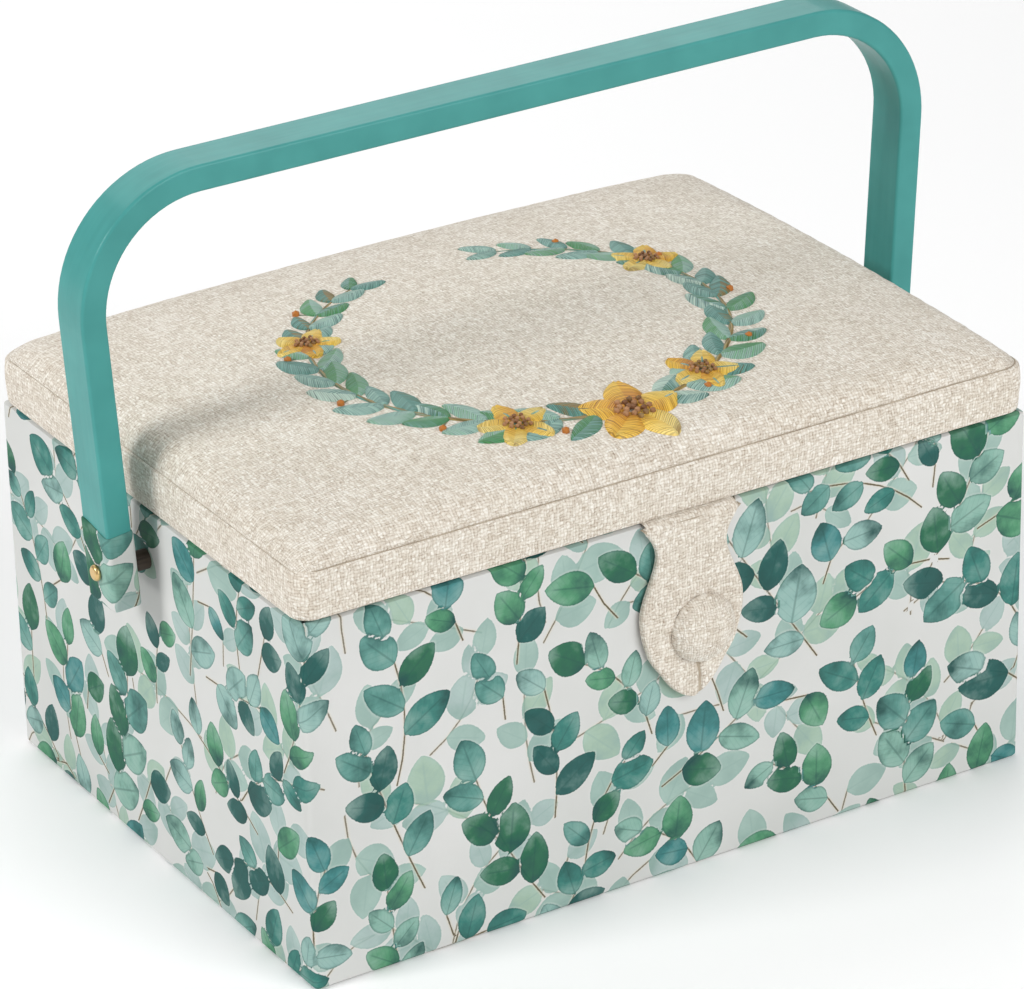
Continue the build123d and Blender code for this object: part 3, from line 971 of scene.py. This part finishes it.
for side in (-1, 1):
    front = -math.pi / 2
    spine = oval_spine(front, front + side * SPRAY_ANGLE)
    satin(leaves, leaf_layer, spine, stem_width, 0.6, STEM_TONE, STEM_GRID, 0.08)
    for step in range(1, SPRAY_STEPS + 1):
        share = step / (SPRAY_STEPS + 0.4)
        x, y, heading = spine(share)
        for turn in (-1, 1):
            length = rng.uniform(15.0, 18.5) * (1 - 0.28 * share**2)
            angle = heading + turn * side * rng.uniform(0.55, 0.95)
            path = leaf_spine(x, y, angle, length, -turn * side * 0.2)
            tone = rng.uniform(0.1, 1.0)
            width = leaf_width(length * rng.uniform(0.42, 0.52))
            satin(leaves, leaf_layer, path, width, 0.8, tone)
        if step % 3 == 2:
            stalk = leaf_spine(x, y, heading - side * 1.25, 7.0, 0.3)
            satin(leaves, leaf_layer, stalk, lambda share: 0.35, 0.45, STEM_TONE, STALK_GRID, 0.05)
            end_x, end_y, _ = stalk(1.0)
            knot(end_x, end_y, BERRY_RADIUS, 0.5, BERRY_TONE)
print("embroidered leaves:", 2 * SPRAY_STEPS * 2)

# %% The flowers
# Each flower has an angle on the oval in degrees, a distance outside it, and a size.
FLOWERS = (
    (-90, 2.0, 16.5), (-121, 1.5, 12.0), (-61, -1.0, 11.5), (22, 0.5, 11.0), (154, 0.0, 10.5),
)
GOLDEN_TURN = 2.4
for angle, off, size in FLOWERS:
    x, y, _ = oval_spine(math.radians(angle), 4.0, off)(0.0)
    twist = rng.uniform(0, 1.2)
    for petal in range(5):
        heading = twist + petal * 2 * math.pi / 5
        start = (x + math.cos(heading) * size * 0.12, y + math.sin(heading) * size * 0.12)
        path = leaf_spine(*start, heading, size * 0.92, rng.uniform(-0.1, 0.1))
        width = leaf_width(size * 0.74, 0.62)
        satin(blooms, bloom_layer, path, width, 1.25, rng.uniform(0.35, 0.65), PETAL_GRID, 0.12)
    for seed in range(19):
        ring, turn = size * 0.085 * math.sqrt(seed), seed * GOLDEN_TURN
        spot = (x + ring * math.cos(turn), y + ring * math.sin(turn))
        knot(*spot, size * 0.065, 1.35, 0.9 + 0.02 * (seed % 5))
print("embroidered flowers:", len(FLOWERS))


def sewn(name, bm, finish):
    """Welds the ends of the stitched shapes and finishes them as one piece on the lid."""
    bmesh.ops.remove_doubles(bm, verts=bm.verts, dist=0.004)
    bmesh.ops.recalc_face_normals(bm, faces=bm.faces)
    finish_piece(name, new_mesh(name, bm), "lid", finish)


# %% The embroidery threads
STREAK_SHADES = ((0.28, (0.40, 0.40, 0.40)), (0.50, (0.82, 0.82, 0.82)), (0.72, (1.0, 1.0, 1.0)))


def satin_finish(name, stops, slant, fade):
    """Glossy embroidery thread, laid across each shape and catching the light in streaks."""
    finish, tree, shader = new_finish(name, 0.45, Specular_IOR_Level=0.5)
    share, across, tone = stored(tree, "stitch")
    x, y, _ = split(tree, place(tree))
    lay = share * 22.0 + across.do("ABSOLUTE") * slant
    streak = noise(tree, joined(tree, lay * 1.1, tone * 50.0, across * 0.10), 1.0, 2.0)
    ply = (lay * math.pi * 2).do("SINE") * 0.5 + 0.5
    drift = noise(tree, joined(tree, x * 90.0, y * 90.0), 1.0, 1.0)
    half = across.ramp(-0.15, 0.15) - 0.5
    mixed = tone + (drift - 0.5) * 0.20 + (streak - 0.5) * 0.42
    mixed = mixed + half * 0.10 + (share - 0.5) * fade
    base = colour_of(tree, mixed, stops)
    shade = colour_of(tree, streak * 0.75 + ply * 0.25, STREAK_SHADES)
    paint(tree, shader, blend_colour(tree, 1.0, base, shade, "MULTIPLY"))
    relief(tree, shader, ply * 0.5 + streak * 0.5, 0.00028, 1.0)
    return finish


LEAF_THREADS = (
    (0.04, (0.330, 0.230, 0.070)),
    (0.12, (0.090, 0.270, 0.225)),
    (0.34, (0.210, 0.400, 0.350)),
    (0.56, (0.380, 0.580, 0.500)),
    (0.74, (0.060, 0.280, 0.075)),
    (0.88, (0.170, 0.340, 0.310)),
    (1.00, (0.520, 0.680, 0.580)),
)
PETAL_THREADS = (
    (0.16, (0.620, 0.210, 0.030)),
    (0.36, (0.830, 0.420, 0.040)),
    (0.54, (0.930, 0.600, 0.080)),
    (0.76, (0.960, 0.770, 0.270)),
    (0.90, (0.200, 0.080, 0.030)),
    (1.00, (0.500, 0.260, 0.120)),
)
sewn("garland_leaves", leaves, satin_finish("leaf_threads", LEAF_THREADS, 1.1, 0.06))
sewn("garland_flowers", blooms, satin_finish("petal_threads", PETAL_THREADS, 0.7, 0.34))

# %% [markdown]
# ## The clasp tab and its button
#
# The tab is card wrapped in linen: a flat tongue with round edges, narrow in its waist and again at
# its tip, where the linen's two edges meet in a slit. Its outline is a smooth curve through a few
# measured half-widths. A tube of cloth follows that outline, and each ring is a flat oval.

# %% The tab's outline
# Each pair is half the tab's width, and how far that lies below the tab's top.
TAB_OUTLINE = (
    (17.4, 0.0), (12.6, 11.0), (18.4, 29.0), (16.2, 43.0), (11.5, 51.0), (6.5, 57.5), (0.0, 61.0),
)
TAB_GRID = (168, 150)
TAB_EDGE = 1.45
TIP_THINNING = 1.7
THINNEST = 0.02
SLIT_X = 2.2
SLIT_TOP = 46.5
SLIT_BEND = (48.5, 0.9)
SLIT_WIDTH = 0.42
SLIT_DEPTH = 1.3
GATHERS = 9
GATHER_START = 10.5
GATHER_REACH = 3.4
GATHER_DEPTH = 0.25
DENT_X = -14.0
DENT_DEPTH = 0.25
tab_middle = (tab_low.x + tab_high.x) / 2
tab_back, tab_front = tab_high.y, tab_low.y
button_middle = (button_low + button_high) / 2
button_offset = button_middle.x - tab_middle
button_drop = tab_high.z - button_middle.z


def smooth_through(points, share):
    """Points on a smooth curve through the given ones, at shares of its length from 0 to 1."""
    knots = np.array(points, float)
    ends = np.vstack([2 * knots[0] - knots[1], knots, knots[-2] * (-1, 1)])
    chord = np.concatenate([[0.0], np.cumsum(np.hypot(*np.diff(knots, axis=0).T))])
    slope = (ends[2:] - ends[:-2]) / 2
    at = np.clip(share, 0, 1) * chord[-1]
    i = np.clip(np.searchsorted(chord, at, "right") - 1, 0, len(knots) - 2)
    t = ((at - chord[i]) / (chord[i + 1] - chord[i]))[:, None]
    near, far = knots[i], knots[i + 1]
    return (
        near * (2 * t**3 - 3 * t**2 + 1) + far * (3 * t**2 - 2 * t**3)
        + slope[i] * (t**3 - 2 * t**2 + t) + slope[i + 1] * (t**3 - t**2)
    )


def quarter_round(share):
    """The rise of a quarter-round edge, from 0 at its rim to 1 where it is full."""
    return np.sqrt(1 - (1 - np.clip(share, 0, 1)) ** 2)


def tab_relief(x, drop):
    """How far the slit, the gathers round the button and a dent press the tab's front in."""
    bend = SLIT_BEND[1] * np.exp(-((drop - SLIT_BEND[0]) / 3.0) ** 2)
    from_slit = x - SLIT_X + bend
    slit = np.exp(-(from_slit / SLIT_WIDTH) ** 2) * np.clip((drop - SLIT_TOP) / 3, 0, 1)
    from_x, from_z = x - button_offset, drop - button_drop
    reach, around = np.hypot(from_x, from_z), np.arctan2(from_z, from_x)
    fade = np.exp(-np.maximum(reach - GATHER_START, 0) / GATHER_REACH)
    gather = fade * np.cos(GATHERS * around + 0.6)
    dent = DENT_DEPTH * np.exp(-(((from_x - DENT_X) / 3.6) ** 2) - ((from_z - 1.0) / 2.6) ** 2)
    swell = 0.25 * soft_waves(x, drop, 21, 22) + 0.10 * soft_waves(x, drop, 22, 7)
    return SLIT_DEPTH * slit - GATHER_DEPTH * gather + dent + swell + 0.25


def linen_tab():
    """The clasp tab as one closed tube of linen, with its slit and its gathers."""
    mesh, u, v = flat_cloth("linen_tab", 1.0, 1.0, *TAB_GRID)
    half, drop = smooth_through(TAB_OUTLINE, v).T
    round_end = 1 - quarter_round(drop / TAB_EDGE)
    half = np.maximum(half - TAB_EDGE * round_end, THINNEST)
    thick = (tab_back - tab_front) / 2 * quarter_round(half / TIP_THINNING)
    thick = np.maximum(thick - TAB_EDGE * round_end, THINNEST)
    radius = np.minimum(np.minimum(TAB_EDGE, half * 0.98), thick * 0.98)
    x, y = np.zeros_like(u), np.zeros_like(u)
    for row in np.unique(v):
        ring = v == row
        first = np.nonzero(ring)[0][0]
        length, plan = round_plan(half[first], thick[first], radius[first])
        x[ring], y[ring] = plan(u[ring] * length)
    turned = x + np.sign(x) * (thick - np.abs(y)) * (y < 0)
    store(mesh, "cloth", np.stack([turned, drop, 0 * x], 1))
    front = np.clip(-y / np.maximum(thick, 0.3), 0, 1) ** 2
    depth = (tab_back + tab_front) / 2 + (y + front * tab_relief(x, drop))
    move_points(mesh, tab_middle + x, depth, tab_high.z - drop)
    return reworked(mesh, lambda bm: close_ends(bm, reach=0.02))


finish_piece("linen_tab", linen_tab(), "clasp", linen, ("clasp_cover",), sharp=60)

# %% The covered button
BUTTON_EDGE = 16
BUTTON_STEPS = 96
BUTTON_GATHERS = 14
GATHERED_FROM = 0.72
button_radius = (button_high.x - button_low.x) / 2
button_height = button_high.y - button_low.y


def covered_button():
    """A domed button with linen drawn tight over it and gathered behind its rim."""
    bm = bmesh.new()
    shape = []
    for i in range(BUTTON_EDGE + 1):
        turn = math.pi / 2 * i / BUTTON_EDGE
        reach = button_radius * math.sin(turn) ** 0.93
        shape.append((reach, -button_height * math.cos(turn) ** 0.85))
    shape += [(button_radius * 0.97, 0.45), (button_radius * 0.86, 0.75), (0.0, 0.75)]
    verts = [bm.verts.new((reach, out, 0.0)) for reach, out in shape]
    edges = [bm.edges.new(pair) for pair in zip(verts, verts[1:])]
    bmesh.ops.spin(
        bm, geom=verts + edges, axis=(0, 1, 0), cent=(0, 0, 0), angle=2 * math.pi,
        steps=BUTTON_STEPS, use_merge=True,
    )
    bmesh.ops.remove_doubles(bm, verts=bm.verts, dist=0.01)
    layer = bm.verts.layers.float_vector.new("cloth")
    for vertex in bm.verts:
        x, _, z = vertex.co
        share = math.hypot(x, z) / button_radius
        around = math.atan2(z, x)
        spread = 1 + 0.25 * share ** 2
        vertex[layer] = (x * spread + 3.1, z * spread + 1.7, 0.0)
        pinch = max(0.0, share - GATHERED_FROM) * 0.65
        vertex.co.y += pinch * math.sin(around * BUTTON_GATHERS + 1.3 * math.sin(3 * around))
    bmesh.ops.recalc_face_normals(bm, faces=bm.faces)
    spot = (button_middle.x, button_high.y, button_middle.z)
    bmesh.ops.translate(bm, vec=spot, verts=bm.verts)
    return new_mesh("linen_button", bm)


finish_piece("linen_button", covered_button(), "clasp", linen, ("clasp_button",), sharp=60)

# %% [markdown]
# ## Two strips of cloth that bend
#
# A cloth hinge is a strip glued half to one part and half to the other. Behind the box it joins
# lid and wall. At the front a tongue runs from under the lid into the clasp tab.

# %% Bending strips
def strip(name, width, path, grid, thickness=0.5, middle=0.0):
    """A strip of linen whose section follows points (y, z), as thick as the cloth."""
    path = np.array(path, float)
    length = np.concatenate([[0.0], np.cumsum(np.hypot(*np.diff(path, axis=0).T))])
    mesh, u, v = flat_cloth(name, width, length[-1], *grid)
    y, z = (np.interp(v, length, column) for column in path.T)
    move_points(mesh, u - width / 2 + middle, y, z)

    def thicken(bm):
        inner = [vertex for vertex in bm.verts if not vertex.is_boundary]
        bmesh.ops.smooth_vert(bm, verts=inner, factor=0.5, use_axis_y=True)
        bmesh.ops.solidify(bm, geom=bm.faces, thickness=thickness)

    return reworked(mesh, thicken)


def bend(name, mesh, first, second, start, end, replaced):
    """Finishes a strip of linen that runs from one body to another, and hides the CAD strips it
    replaces. It rides on neither body.
    """
    piece = new_object(name, mesh, linen, sharp=50)
    [v * MM for v in start]
    [v * MM for v in end]
    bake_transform(piece)
    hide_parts(*replaced)
    print(name, "bends between", first, "and", second)


# %% The hinge cloth
HALF_BEND = 1.4
hinge_low, hinge_high = corners("hinge_cloth_body")
upper_low, upper_high = corners("hinge_cloth_lid")
gap_z = (hinge_high.z + upper_low.z) / 2
hinge_path = (
    (hinge_high.y, hinge_low.z), (hinge_high.y, hinge_high.z - 0.6), (hinge_high.y - 0.5, gap_z),
    (upper_high.y, upper_low.z + 0.6), (upper_high.y, upper_high.z),
)
bend(
    "linen_hinge", strip("linen_hinge", hinge_high.x - hinge_low.x, hinge_path, (200, 22)),
    "box", "lid", (0, hinge_high.y, gap_z - HALF_BEND), (0, hinge_high.y, gap_z + HALF_BEND),
    ("hinge_cloth_body", "hinge_cloth_lid"),
)

# %% The clasp's tongue
TONGUE_MARGIN = 2.0
tongue_low, tongue_high = corners("clasp_strip")
tongue_z = (tongue_low.z + tongue_high.z) / 2
tongue_width = tongue_high.x - tongue_low.x - 2 * TONGUE_MARGIN
tab_heart = (tab_back + tab_front) / 2
tongue_path = (
    (tongue_high.y, tongue_z), (tab_back + 0.2, tongue_z), (tab_heart + 0.5, tongue_z - 0.15),
    (tab_heart, tongue_z - 0.7), (tab_heart, tab_high.z - 2.6),
)
bend(
    "linen_tongue", strip("linen_tongue", tongue_width, tongue_path, (36, 20), 0.4, tab_middle),
    "lid", "clasp", (0, tab_back + 0.1, tongue_z), (0, tab_heart, tab_high.z - 0.6),
    ("clasp_strip",),
)

# %% [markdown]
# ## The printed sleeves of the handle
#
# Each end of the bow is wrapped in the printed cotton, over the paint. The wrap is the same folding
# as on the walls, on a smaller plan, and then leaned out with the leg.

# %% Sleeves
HANDLE_FLARE = math.radians(3.3)
SLEEVE_HALF = (4.85, 8.6)
SLEEVE_CORNER = 1.6
# Where the left and the right sleeve are cut from the printed cloth.
SLEEVE_PRINT = ((63.0, 21.0), (143.0, 21.0))


def printed_sleeve(name, cad_name, side, print_at):
    """The cotton round one end of the bow, closed at its foot and turned in at its top."""
    low, high = corners(cad_name)
    middle = (low + high) / 2
    lean, upright = math.sin(HANDLE_FLARE), math.cos(HANDLE_FLARE)
    tall = (high.z - low.z - 2 * SLEEVE_HALF[0] * lean) / upright
    length, plan = round_plan(*SLEEVE_HALF, SLEEVE_CORNER)
    height, profile = hem(-tall / 2, tall / 2, turn_under=1.6, turn_over=0.9, fold=0.55)
    mesh, u, v = flat_cloth(name, length, height, 84, 44)
    print_on(mesh, u + print_at[0], v + print_at[1])
    out, up = profile(v)
    x, y = plan(u, -out)
    wavy_top = 0.9 * np.sin(y / 8.45 * 1.6) + 0.25 * soft_waves(x, y, 31, 14)
    up = up + np.clip(up / 6, 0, 1) * wavy_top
    lean = lean * side
    x, z = middle.x + x * upright + up * lean, middle.z + up * upright - x * lean
    move_points(mesh, x, middle.y + y, z)
    return reworked(mesh, close_ends)


for side, end, print_at in zip((-1, 1), ("left", "right"), SLEEVE_PRINT):
    name, cad_name = f"printed_sleeve_{end}", f"handle_sleeve_{end}"
    sleeve = printed_sleeve(name, cad_name, side, print_at)
    finish_piece(name, sleeve, "handle", printed, (cad_name,), sharp=50)

# %% [markdown]
# ## Paint, metal, wood and board
#
# The pieces that come ready from the CAD frame keep their shape and get a finish. Gloss paint on
# bent wood is nearly smooth, with a slow waver from the brush and the grain just showing through.
# Brass and steel differ by colour and by how far their scratches spread the light.

# %% Hard finishes
PAINT_TONES = ((0.3, (0.052, 0.262, 0.246)), (0.7, (0.068, 0.315, 0.296)))
IVORY_TONES = ((0.3, (0.780, 0.765, 0.710)), (0.7, (0.840, 0.830, 0.785)))


def gloss_paint():
    """Teal gloss paint over bent wood."""
    finish, tree, shader = new_finish(
        "teal_gloss_paint", 0.38, Specular_IOR_Level=0.15, Coat_Weight=0.15, Coat_Roughness=0.10
    )
    x, y, z = split(tree, place(tree))
    grain = noise(tree, joined(tree, x * 26.0, y * 420.0, z * 26.0), 1.0, 3.0)
    waver = noise(tree, place(tree), 75.0, 2.0)
    paint(tree, shader, colour_of(tree, grain * 0.35 + waver * 0.65, PAINT_TONES))
    relief(tree, shader, grain * 0.5 + waver * 0.5, 0.00035, 0.35)
    return finish


def metal_finish(name, colour, roughness):
    """Metal with fine scratches and slightly uneven colour."""
    finish, tree, shader = new_finish(name, roughness, Metallic=1.0)
    x, y, z = split(tree, place(tree))
    scratch = noise(tree, joined(tree, x * 900.0, y * 5200.0, z * 5200.0), 1.0, 2.0)
    cloud = noise(tree, place(tree), 160.0, 2.0)
    tones = ((0.3, tuple(channel * 0.72 for channel in colour)), (0.7, colour))
    paint(tree, shader, colour_of(tree, cloud * 0.7 + scratch * 0.3, tones))
    relief(tree, shader, scratch, 0.00002, 0.5)
    return finish


def grained_finish(name, dark, light, stretch, roughness, size=260.0):
    """Board, paper or wood: flecks drawn out along x by a factor."""
    finish, tree, shader = new_finish(name, roughness, Specular_IOR_Level=0.3)
    x, y, z = split(tree, place(tree))
    spot = joined(tree, x * (size / stretch), y * size, z * size)
    fleck = noise(tree, spot, 1.0, 5.0)
    cloud = noise(tree, place(tree), 30.0, 2.0)
    tones = ((0.35, dark), (0.65, light))
    paint(tree, shader, colour_of(tree, fleck * 0.75 + cloud * 0.25, tones))
    relief(tree, shader, fleck, 0.00010, 0.6)
    return finish


def plastic_finish():
    """Ivory polystyrene, satin, with the faint orange-peel of a mould."""
    finish, tree, shader = new_finish(
        "ivory_plastic", 0.32, Subsurface_Weight=0.12, Subsurface_Scale=0.002
    )
    peel = noise(tree, place(tree), 900.0, 2.0)
    cloud = noise(tree, place(tree), 22.0, 2.0)
    paint(tree, shader, colour_of(tree, cloud, IVORY_TONES))
    relief(tree, shader, peel, 0.00006, 0.4)
    return finish


def dress(finish, slot, *names):
    """Gives a finish to CAD pieces that keep their shape."""
    for name in names:
        node = nodes[name]
        node.data.materials.clear()
        node.data.materials.append(finish)
    print(finish.name, "on", len(names), "pieces")


teal = gloss_paint()
brass = metal_finish("satin_brass", (0.800, 0.560, 0.250), 0.30)
steel = metal_finish("plated_steel", (0.640, 0.645, 0.660), 0.26)
board = grained_finish(
    "grey_board", (0.330, 0.270, 0.200), (0.470, 0.400, 0.310), stretch=1.5, roughness=0.9
)
paper = grained_finish(
    "cream_paper", (0.600, 0.560, 0.470), (0.700, 0.665, 0.580),
    stretch=4.0, roughness=0.88, size=420.0,
)
# The spacers' beech is made nearly black: partly painted shade, for the dark gap between each leg
# of the bow and the wall.
beech = grained_finish(
    "beech_darkened_as_painted_shade", (0.035, 0.024, 0.018), (0.085, 0.060, 0.045),
    stretch=9.0, roughness=0.5, size=700.0,
)

dress(teal, "painted_wood", "handle_bow")
dress(brass, "brass", "pivot_bolt_left", "pivot_bolt_right")
dress(
    steel, "steel", "pivot_washer_left", "pivot_washer_right", "pivot_nut_left", "pivot_nut_right",
    "magnet_keeper", "clasp_magnet",
)
dress(beech, "spacer_wood", "pivot_spacer_left", "pivot_spacer_right")
dress(paper, "base_paper", "base_sheet")
dress(plastic_finish(), "tray_plastic", "tray")
dress(
    board, "board", "base_board", "front_wall", "back_wall", "left_wall", "right_wall", "lid_board",
    "lid_rail_front", "lid_rail_back", "lid_rail_left", "lid_rail_right", "clasp_board",
)

# %% [markdown]
# ## The lining
#
# Inside, each wall has a card panel covered in plain cream cotton. The cloth turns over the card's
# edges, so a panel is a slab with soft round edges. Its weave runs level and upright on every face.

# %% Lining panels
COTTON_TONES = (
    (0.25, (0.620, 0.575, 0.480)), (0.5, (0.740, 0.700, 0.610)), (0.8, (0.820, 0.790, 0.715)),
)
COTTON_PITCH = 0.5
CLEAR_OF_ZERO = 300


def plain_cotton():
    """Fine plain cotton for the lining."""
    finish, tree, shader = new_finish("cream_cotton", 0.8, Specular_IOR_Level=0.25)
    across, along, _ = stored(tree, "cloth")
    height, tone = weave(tree, across, along, COTTON_PITCH)
    cloud = noise(tree, place(tree), 25.0, 3.0)
    # Painted light and shade: the weave's height makes the crowns of the threads lighter and the
    # gaps between them darker.
    shade = tone * 0.35 + height * 0.25 + cloud * 0.40
    paint(tree, shader, colour_of(tree, shade, COTTON_TONES))
    relief(tree, shader, height, 0.00008, 0.6)
    return finish


cream = plain_cotton()


def covered_panel(bm, layer, low, high):
    """Adds a card panel between two corners, its edges rounded by the cloth over them."""
    size = high - low
    made = bmesh.ops.create_cube(bm, size=1.0)["verts"]
    bmesh.ops.scale(bm, vec=size, verts=made)
    bmesh.ops.translate(bm, vec=(low + high) / 2, verts=made)
    edges = list({edge for vertex in made for edge in vertex.link_edges})
    bmesh.ops.bevel(
        bm, geom=edges, offset=min(size) * 0.42, offset_type="OFFSET", affect="EDGES",
        segments=3, profile=0.5, material=-1,
    )
    thin = min(range(3), key=lambda axis: size[axis])
    first, second = [axis for axis in range(3) if axis != thin]
    for vertex in bm.verts:
        if vertex[layer].length == 0:
            u, v = vertex.co[first], vertex.co[second]
            vertex[layer] = (u + CLEAR_OF_ZERO, v + CLEAR_OF_ZERO, 0.0)


def lining(name, body, boxes, replaced):
    """One lining piece made of covered panels."""
    bm = bmesh.new()
    layer = bm.verts.layers.float_vector.new("cloth")
    for low, high in boxes:
        covered_panel(bm, layer, Vector(low), Vector(high))
    bmesh.ops.recalc_face_normals(bm, faces=bm.faces)
    finish_piece(name, new_mesh(name, bm), body, cream, replaced)


for side in ("floor", "front", "back", "left", "right"):
    lining(f"cotton_lining_{side}", "box", [corners(f"lining_{side}")], (f"lining_{side}",))
for side in ("front", "back"):
    lining(f"cotton_rail_{side}", "box", [corners(f"tray_rail_{side}")], (f"tray_rail_{side}",))

lid_low, lid_high = corners("lid_lining")
thin = 1.0
lid_panels = [
    ((lid_low.x, lid_low.y, lid_high.z - thin), lid_high),
    (lid_low, (lid_low.x + thin, lid_high.y, lid_high.z - thin)),
    ((lid_high.x - thin, lid_low.y, lid_low.z), (lid_high.x, lid_high.y, lid_high.z - thin)),
    (lid_low, (lid_high.x, lid_low.y + thin, lid_high.z - thin)),
    ((lid_low.x, lid_high.y - thin, lid_low.z), (lid_high.x, lid_high.y, lid_high.z - thin)),
]
lining("cotton_lining_lid", "lid", lid_panels, ("lid_lining",))

# %% [markdown]
# ## Inside the lid
#
# A flat pocket with a gathered elastic top holds patterns and papers, and a round pincushion is
# sewn to the lining. Both are printed cotton. The pocket is one sheet given a little thickness.
# The pincushion is a grid rolled into a dome, stuffed hard and tufted in the middle.

# %% The pocket
# Where the pocket is cut from the printed cloth.
POCKET_PRINT = (300.0, 4.0)
POCKET_BELLY = 0.55
ELASTIC_FROM = 0.80
ELASTIC_WAVE = 6.1


def lid_pocket():
    """The pocket: a sheet that bellies a little, gathered along its open edge."""
    low, high = corners("lid_pocket")
    size = high - low
    mesh, u, v = flat_cloth("printed_pocket", size.x, size.y, 110, 110)
    print_on(mesh, u + POCKET_PRINT[0], v + POCKET_PRINT[1])
    x, y = u / size.x * 2 - 1, v / size.y
    belly = (1 - x**4) * np.sin(math.pi * np.clip(y, 0, 1)) ** 0.5
    near_elastic = np.clip((y - ELASTIC_FROM) / 0.2, 0, 1)
    gather = np.sin(u * 2 * math.pi / ELASTIC_WAVE + 1.2 * np.sin(u / 9)) * near_elastic
    z = high.z - 0.25 - POCKET_BELLY * belly + 0.18 * gather * (1 - x**6)
    move_points(mesh, low.x + u, low.y + v, z)
    return reworked(mesh, lambda bm: bmesh.ops.solidify(bm, geom=bm.faces, thickness=0.3)), size


pocket_mesh, pocket_size = lid_pocket()
pocket = finish_piece(
    "printed_pocket", pocket_mesh, "lid", printed, ("lid_pocket",), sharp=60
)

# %% The pincushion
PINCUSHION_PRINT = 60.0
SEGMENTS = 8


def stuffed_pincushion():
    """A round pincushion, crowned downwards when the lid is shut, with a tuft in its middle."""
    low, high = corners("pincushion")
    radius = (high.x - low.x) / 2
    mesh, u, v = flat_cloth("printed_pincushion", 1.0, 1.0, 96, 36)
    turn, lean = u * 2 * math.pi, v * math.pi * 0.5
    lobes = 1 + 0.010 * np.cos(SEGMENTS * turn) * np.sin(lean) ** 4
    reach = radius * np.sin(lean) ** 0.85 * lobes
    tuft = 1.9 * np.exp(-(reach / 4.0) ** 2)
    seams = 0.45 * np.abs(np.sin(SEGMENTS / 2 * turn)) ** 0.6
    seams = seams * np.exp(-((reach - radius * 0.5) / 12) ** 2) * 0.4
    fall = (high.z - low.z) * np.cos(lean) ** 0.8 - tuft - seams
    x, y = reach * np.cos(turn), reach * np.sin(turn)
    press_x, press_y = x + PINCUSHION_PRINT, y + PINCUSHION_PRINT
    store(mesh, "cloth", np.stack([press_x, press_y, 0 * x], 1))
    print_on(mesh, press_x, press_y)
    move_points(mesh, (low.x + high.x) / 2 + x, (low.y + high.y) / 2 + y, high.z - fall)
    return reworked(mesh, close_ends)


pincushion = finish_piece(
    "printed_pincushion", stuffed_pincushion(), "lid", printed, ("pincushion",),
    sharp=60,
)

# %% [markdown]
# ## Floor, light and camera
#
# The box stands on a plain pale floor that curves up into the backdrop. A small soft light on the
# left draws the shadows and the weave, a broad one in front and a broad one behind fill them, and
# a pale sky fills the rest, so the shadows stay faint. The camera looks from the front left, a
# little down, through a long lens.

# %% Stage
FLOOR_REACH = 4.0
FLOOR_BACK = 2.2
BACKDROP_RADIUS = 1.0
FLOOR_TONES = ((0.3, (0.94, 0.94, 0.94)), (0.7, (0.96, 0.96, 0.96)))
SKY_STRENGTH = 0.33


def pale_floor():
    """A floor that curves up behind the box, far enough away not to be seen as a wall."""
    bm = bmesh.new()
    verts = [bm.verts.new((-FLOOR_REACH, y, 0.0)) for y in (-FLOOR_REACH, FLOOR_BACK)]
    edge = bm.edges.new(verts)
    made = bmesh.ops.extrude_edge_only(bm, edges=[edge])["geom"]
    for vertex in made:
        if isinstance(vertex, bmesh.types.BMVert):
            vertex.co.x = FLOOR_REACH
    back = [edge for edge in bm.edges if all(vertex.co.y > 0 for vertex in edge.verts)]
    bmesh.ops.spin(
        bm, geom=back, axis=(1, 0, 0), cent=(0, FLOOR_BACK, BACKDROP_RADIUS), angle=math.pi / 2,
        steps=16, use_merge=False,
    )
    bmesh.ops.recalc_face_normals(bm, faces=bm.faces)
    mesh = new_mesh("pale_floor", bm)
    finish, tree, shader = new_finish("pale_floor", 0.9, Specular_IOR_Level=0.1)
    cloud = noise(tree, place(tree), 1.5, 2.0)
    paint(tree, shader, colour_of(tree, cloud, FLOOR_TONES))
    mesh.materials.append(finish)
    mesh.shade_smooth()
    floor = bpy.data.objects.new("pale_floor", mesh)
    scene.collection.objects.link(floor)


pale_floor()

world = bpy.data.worlds.new("studio")
world.use_nodes = True
sky = world.node_tree.nodes["Background"]
sky.inputs["Color"].default_value = (1.0, 1.0, 1.0, 1.0)
sky.inputs["Strength"].default_value = SKY_STRENGTH
scene.world = world


def soft_light(name, spot, aim, size, power):
    """A square studio light that points at a spot."""
    lamp = bpy.data.lights.new(name, "AREA")
    lamp.size = size
    lamp.energy = power
    light = bpy.data.objects.new(name, lamp)
    light.location = spot
    light.rotation_euler = (Vector(aim) - Vector(spot)).to_track_quat("-Z", "Y").to_euler()
    scene.collection.objects.link(light)


soft_light("key", spot=(-1.6, 0.1, 1.2), aim=(0.0, 0.0, 0.1), size=0.55, power=20.5)
soft_light("fill", spot=(0.4, -1.7, 1.1), aim=(0.0, 0.0, 0.1), size=1.3, power=25.0)
soft_light("back", spot=(0.3, 1.3, 1.2), aim=(0.0, 0.0, 0.15), size=1.8, power=14.0)

# %% Camera
CAMERA_PLACE = Vector((-0.763069, -1.253832, 0.802729))
CAMERA_RIGHT = Vector((0.848612, -0.528581, -0.021441))
CAMERA_UP = Vector((0.247035, 0.360112, 0.899607))
CAMERA_LENS = 181.02
lens = bpy.data.cameras.new("photo_view")
lens.sensor_width = 36.0
lens.lens = CAMERA_LENS
lens.clip_end = 20.0
camera = bpy.data.objects.new("photo_view", lens)
turn = Matrix((CAMERA_RIGHT, CAMERA_UP, CAMERA_RIGHT.cross(CAMERA_UP))).transposed().to_4x4()
camera.matrix_world = Matrix.Translation(CAMERA_PLACE) @ turn
scene.collection.objects.link(camera)
scene.camera = camera
scene.view_settings.view_transform = "Standard"
print("camera looks from", [round(v, 2) for v in CAMERA_PLACE])
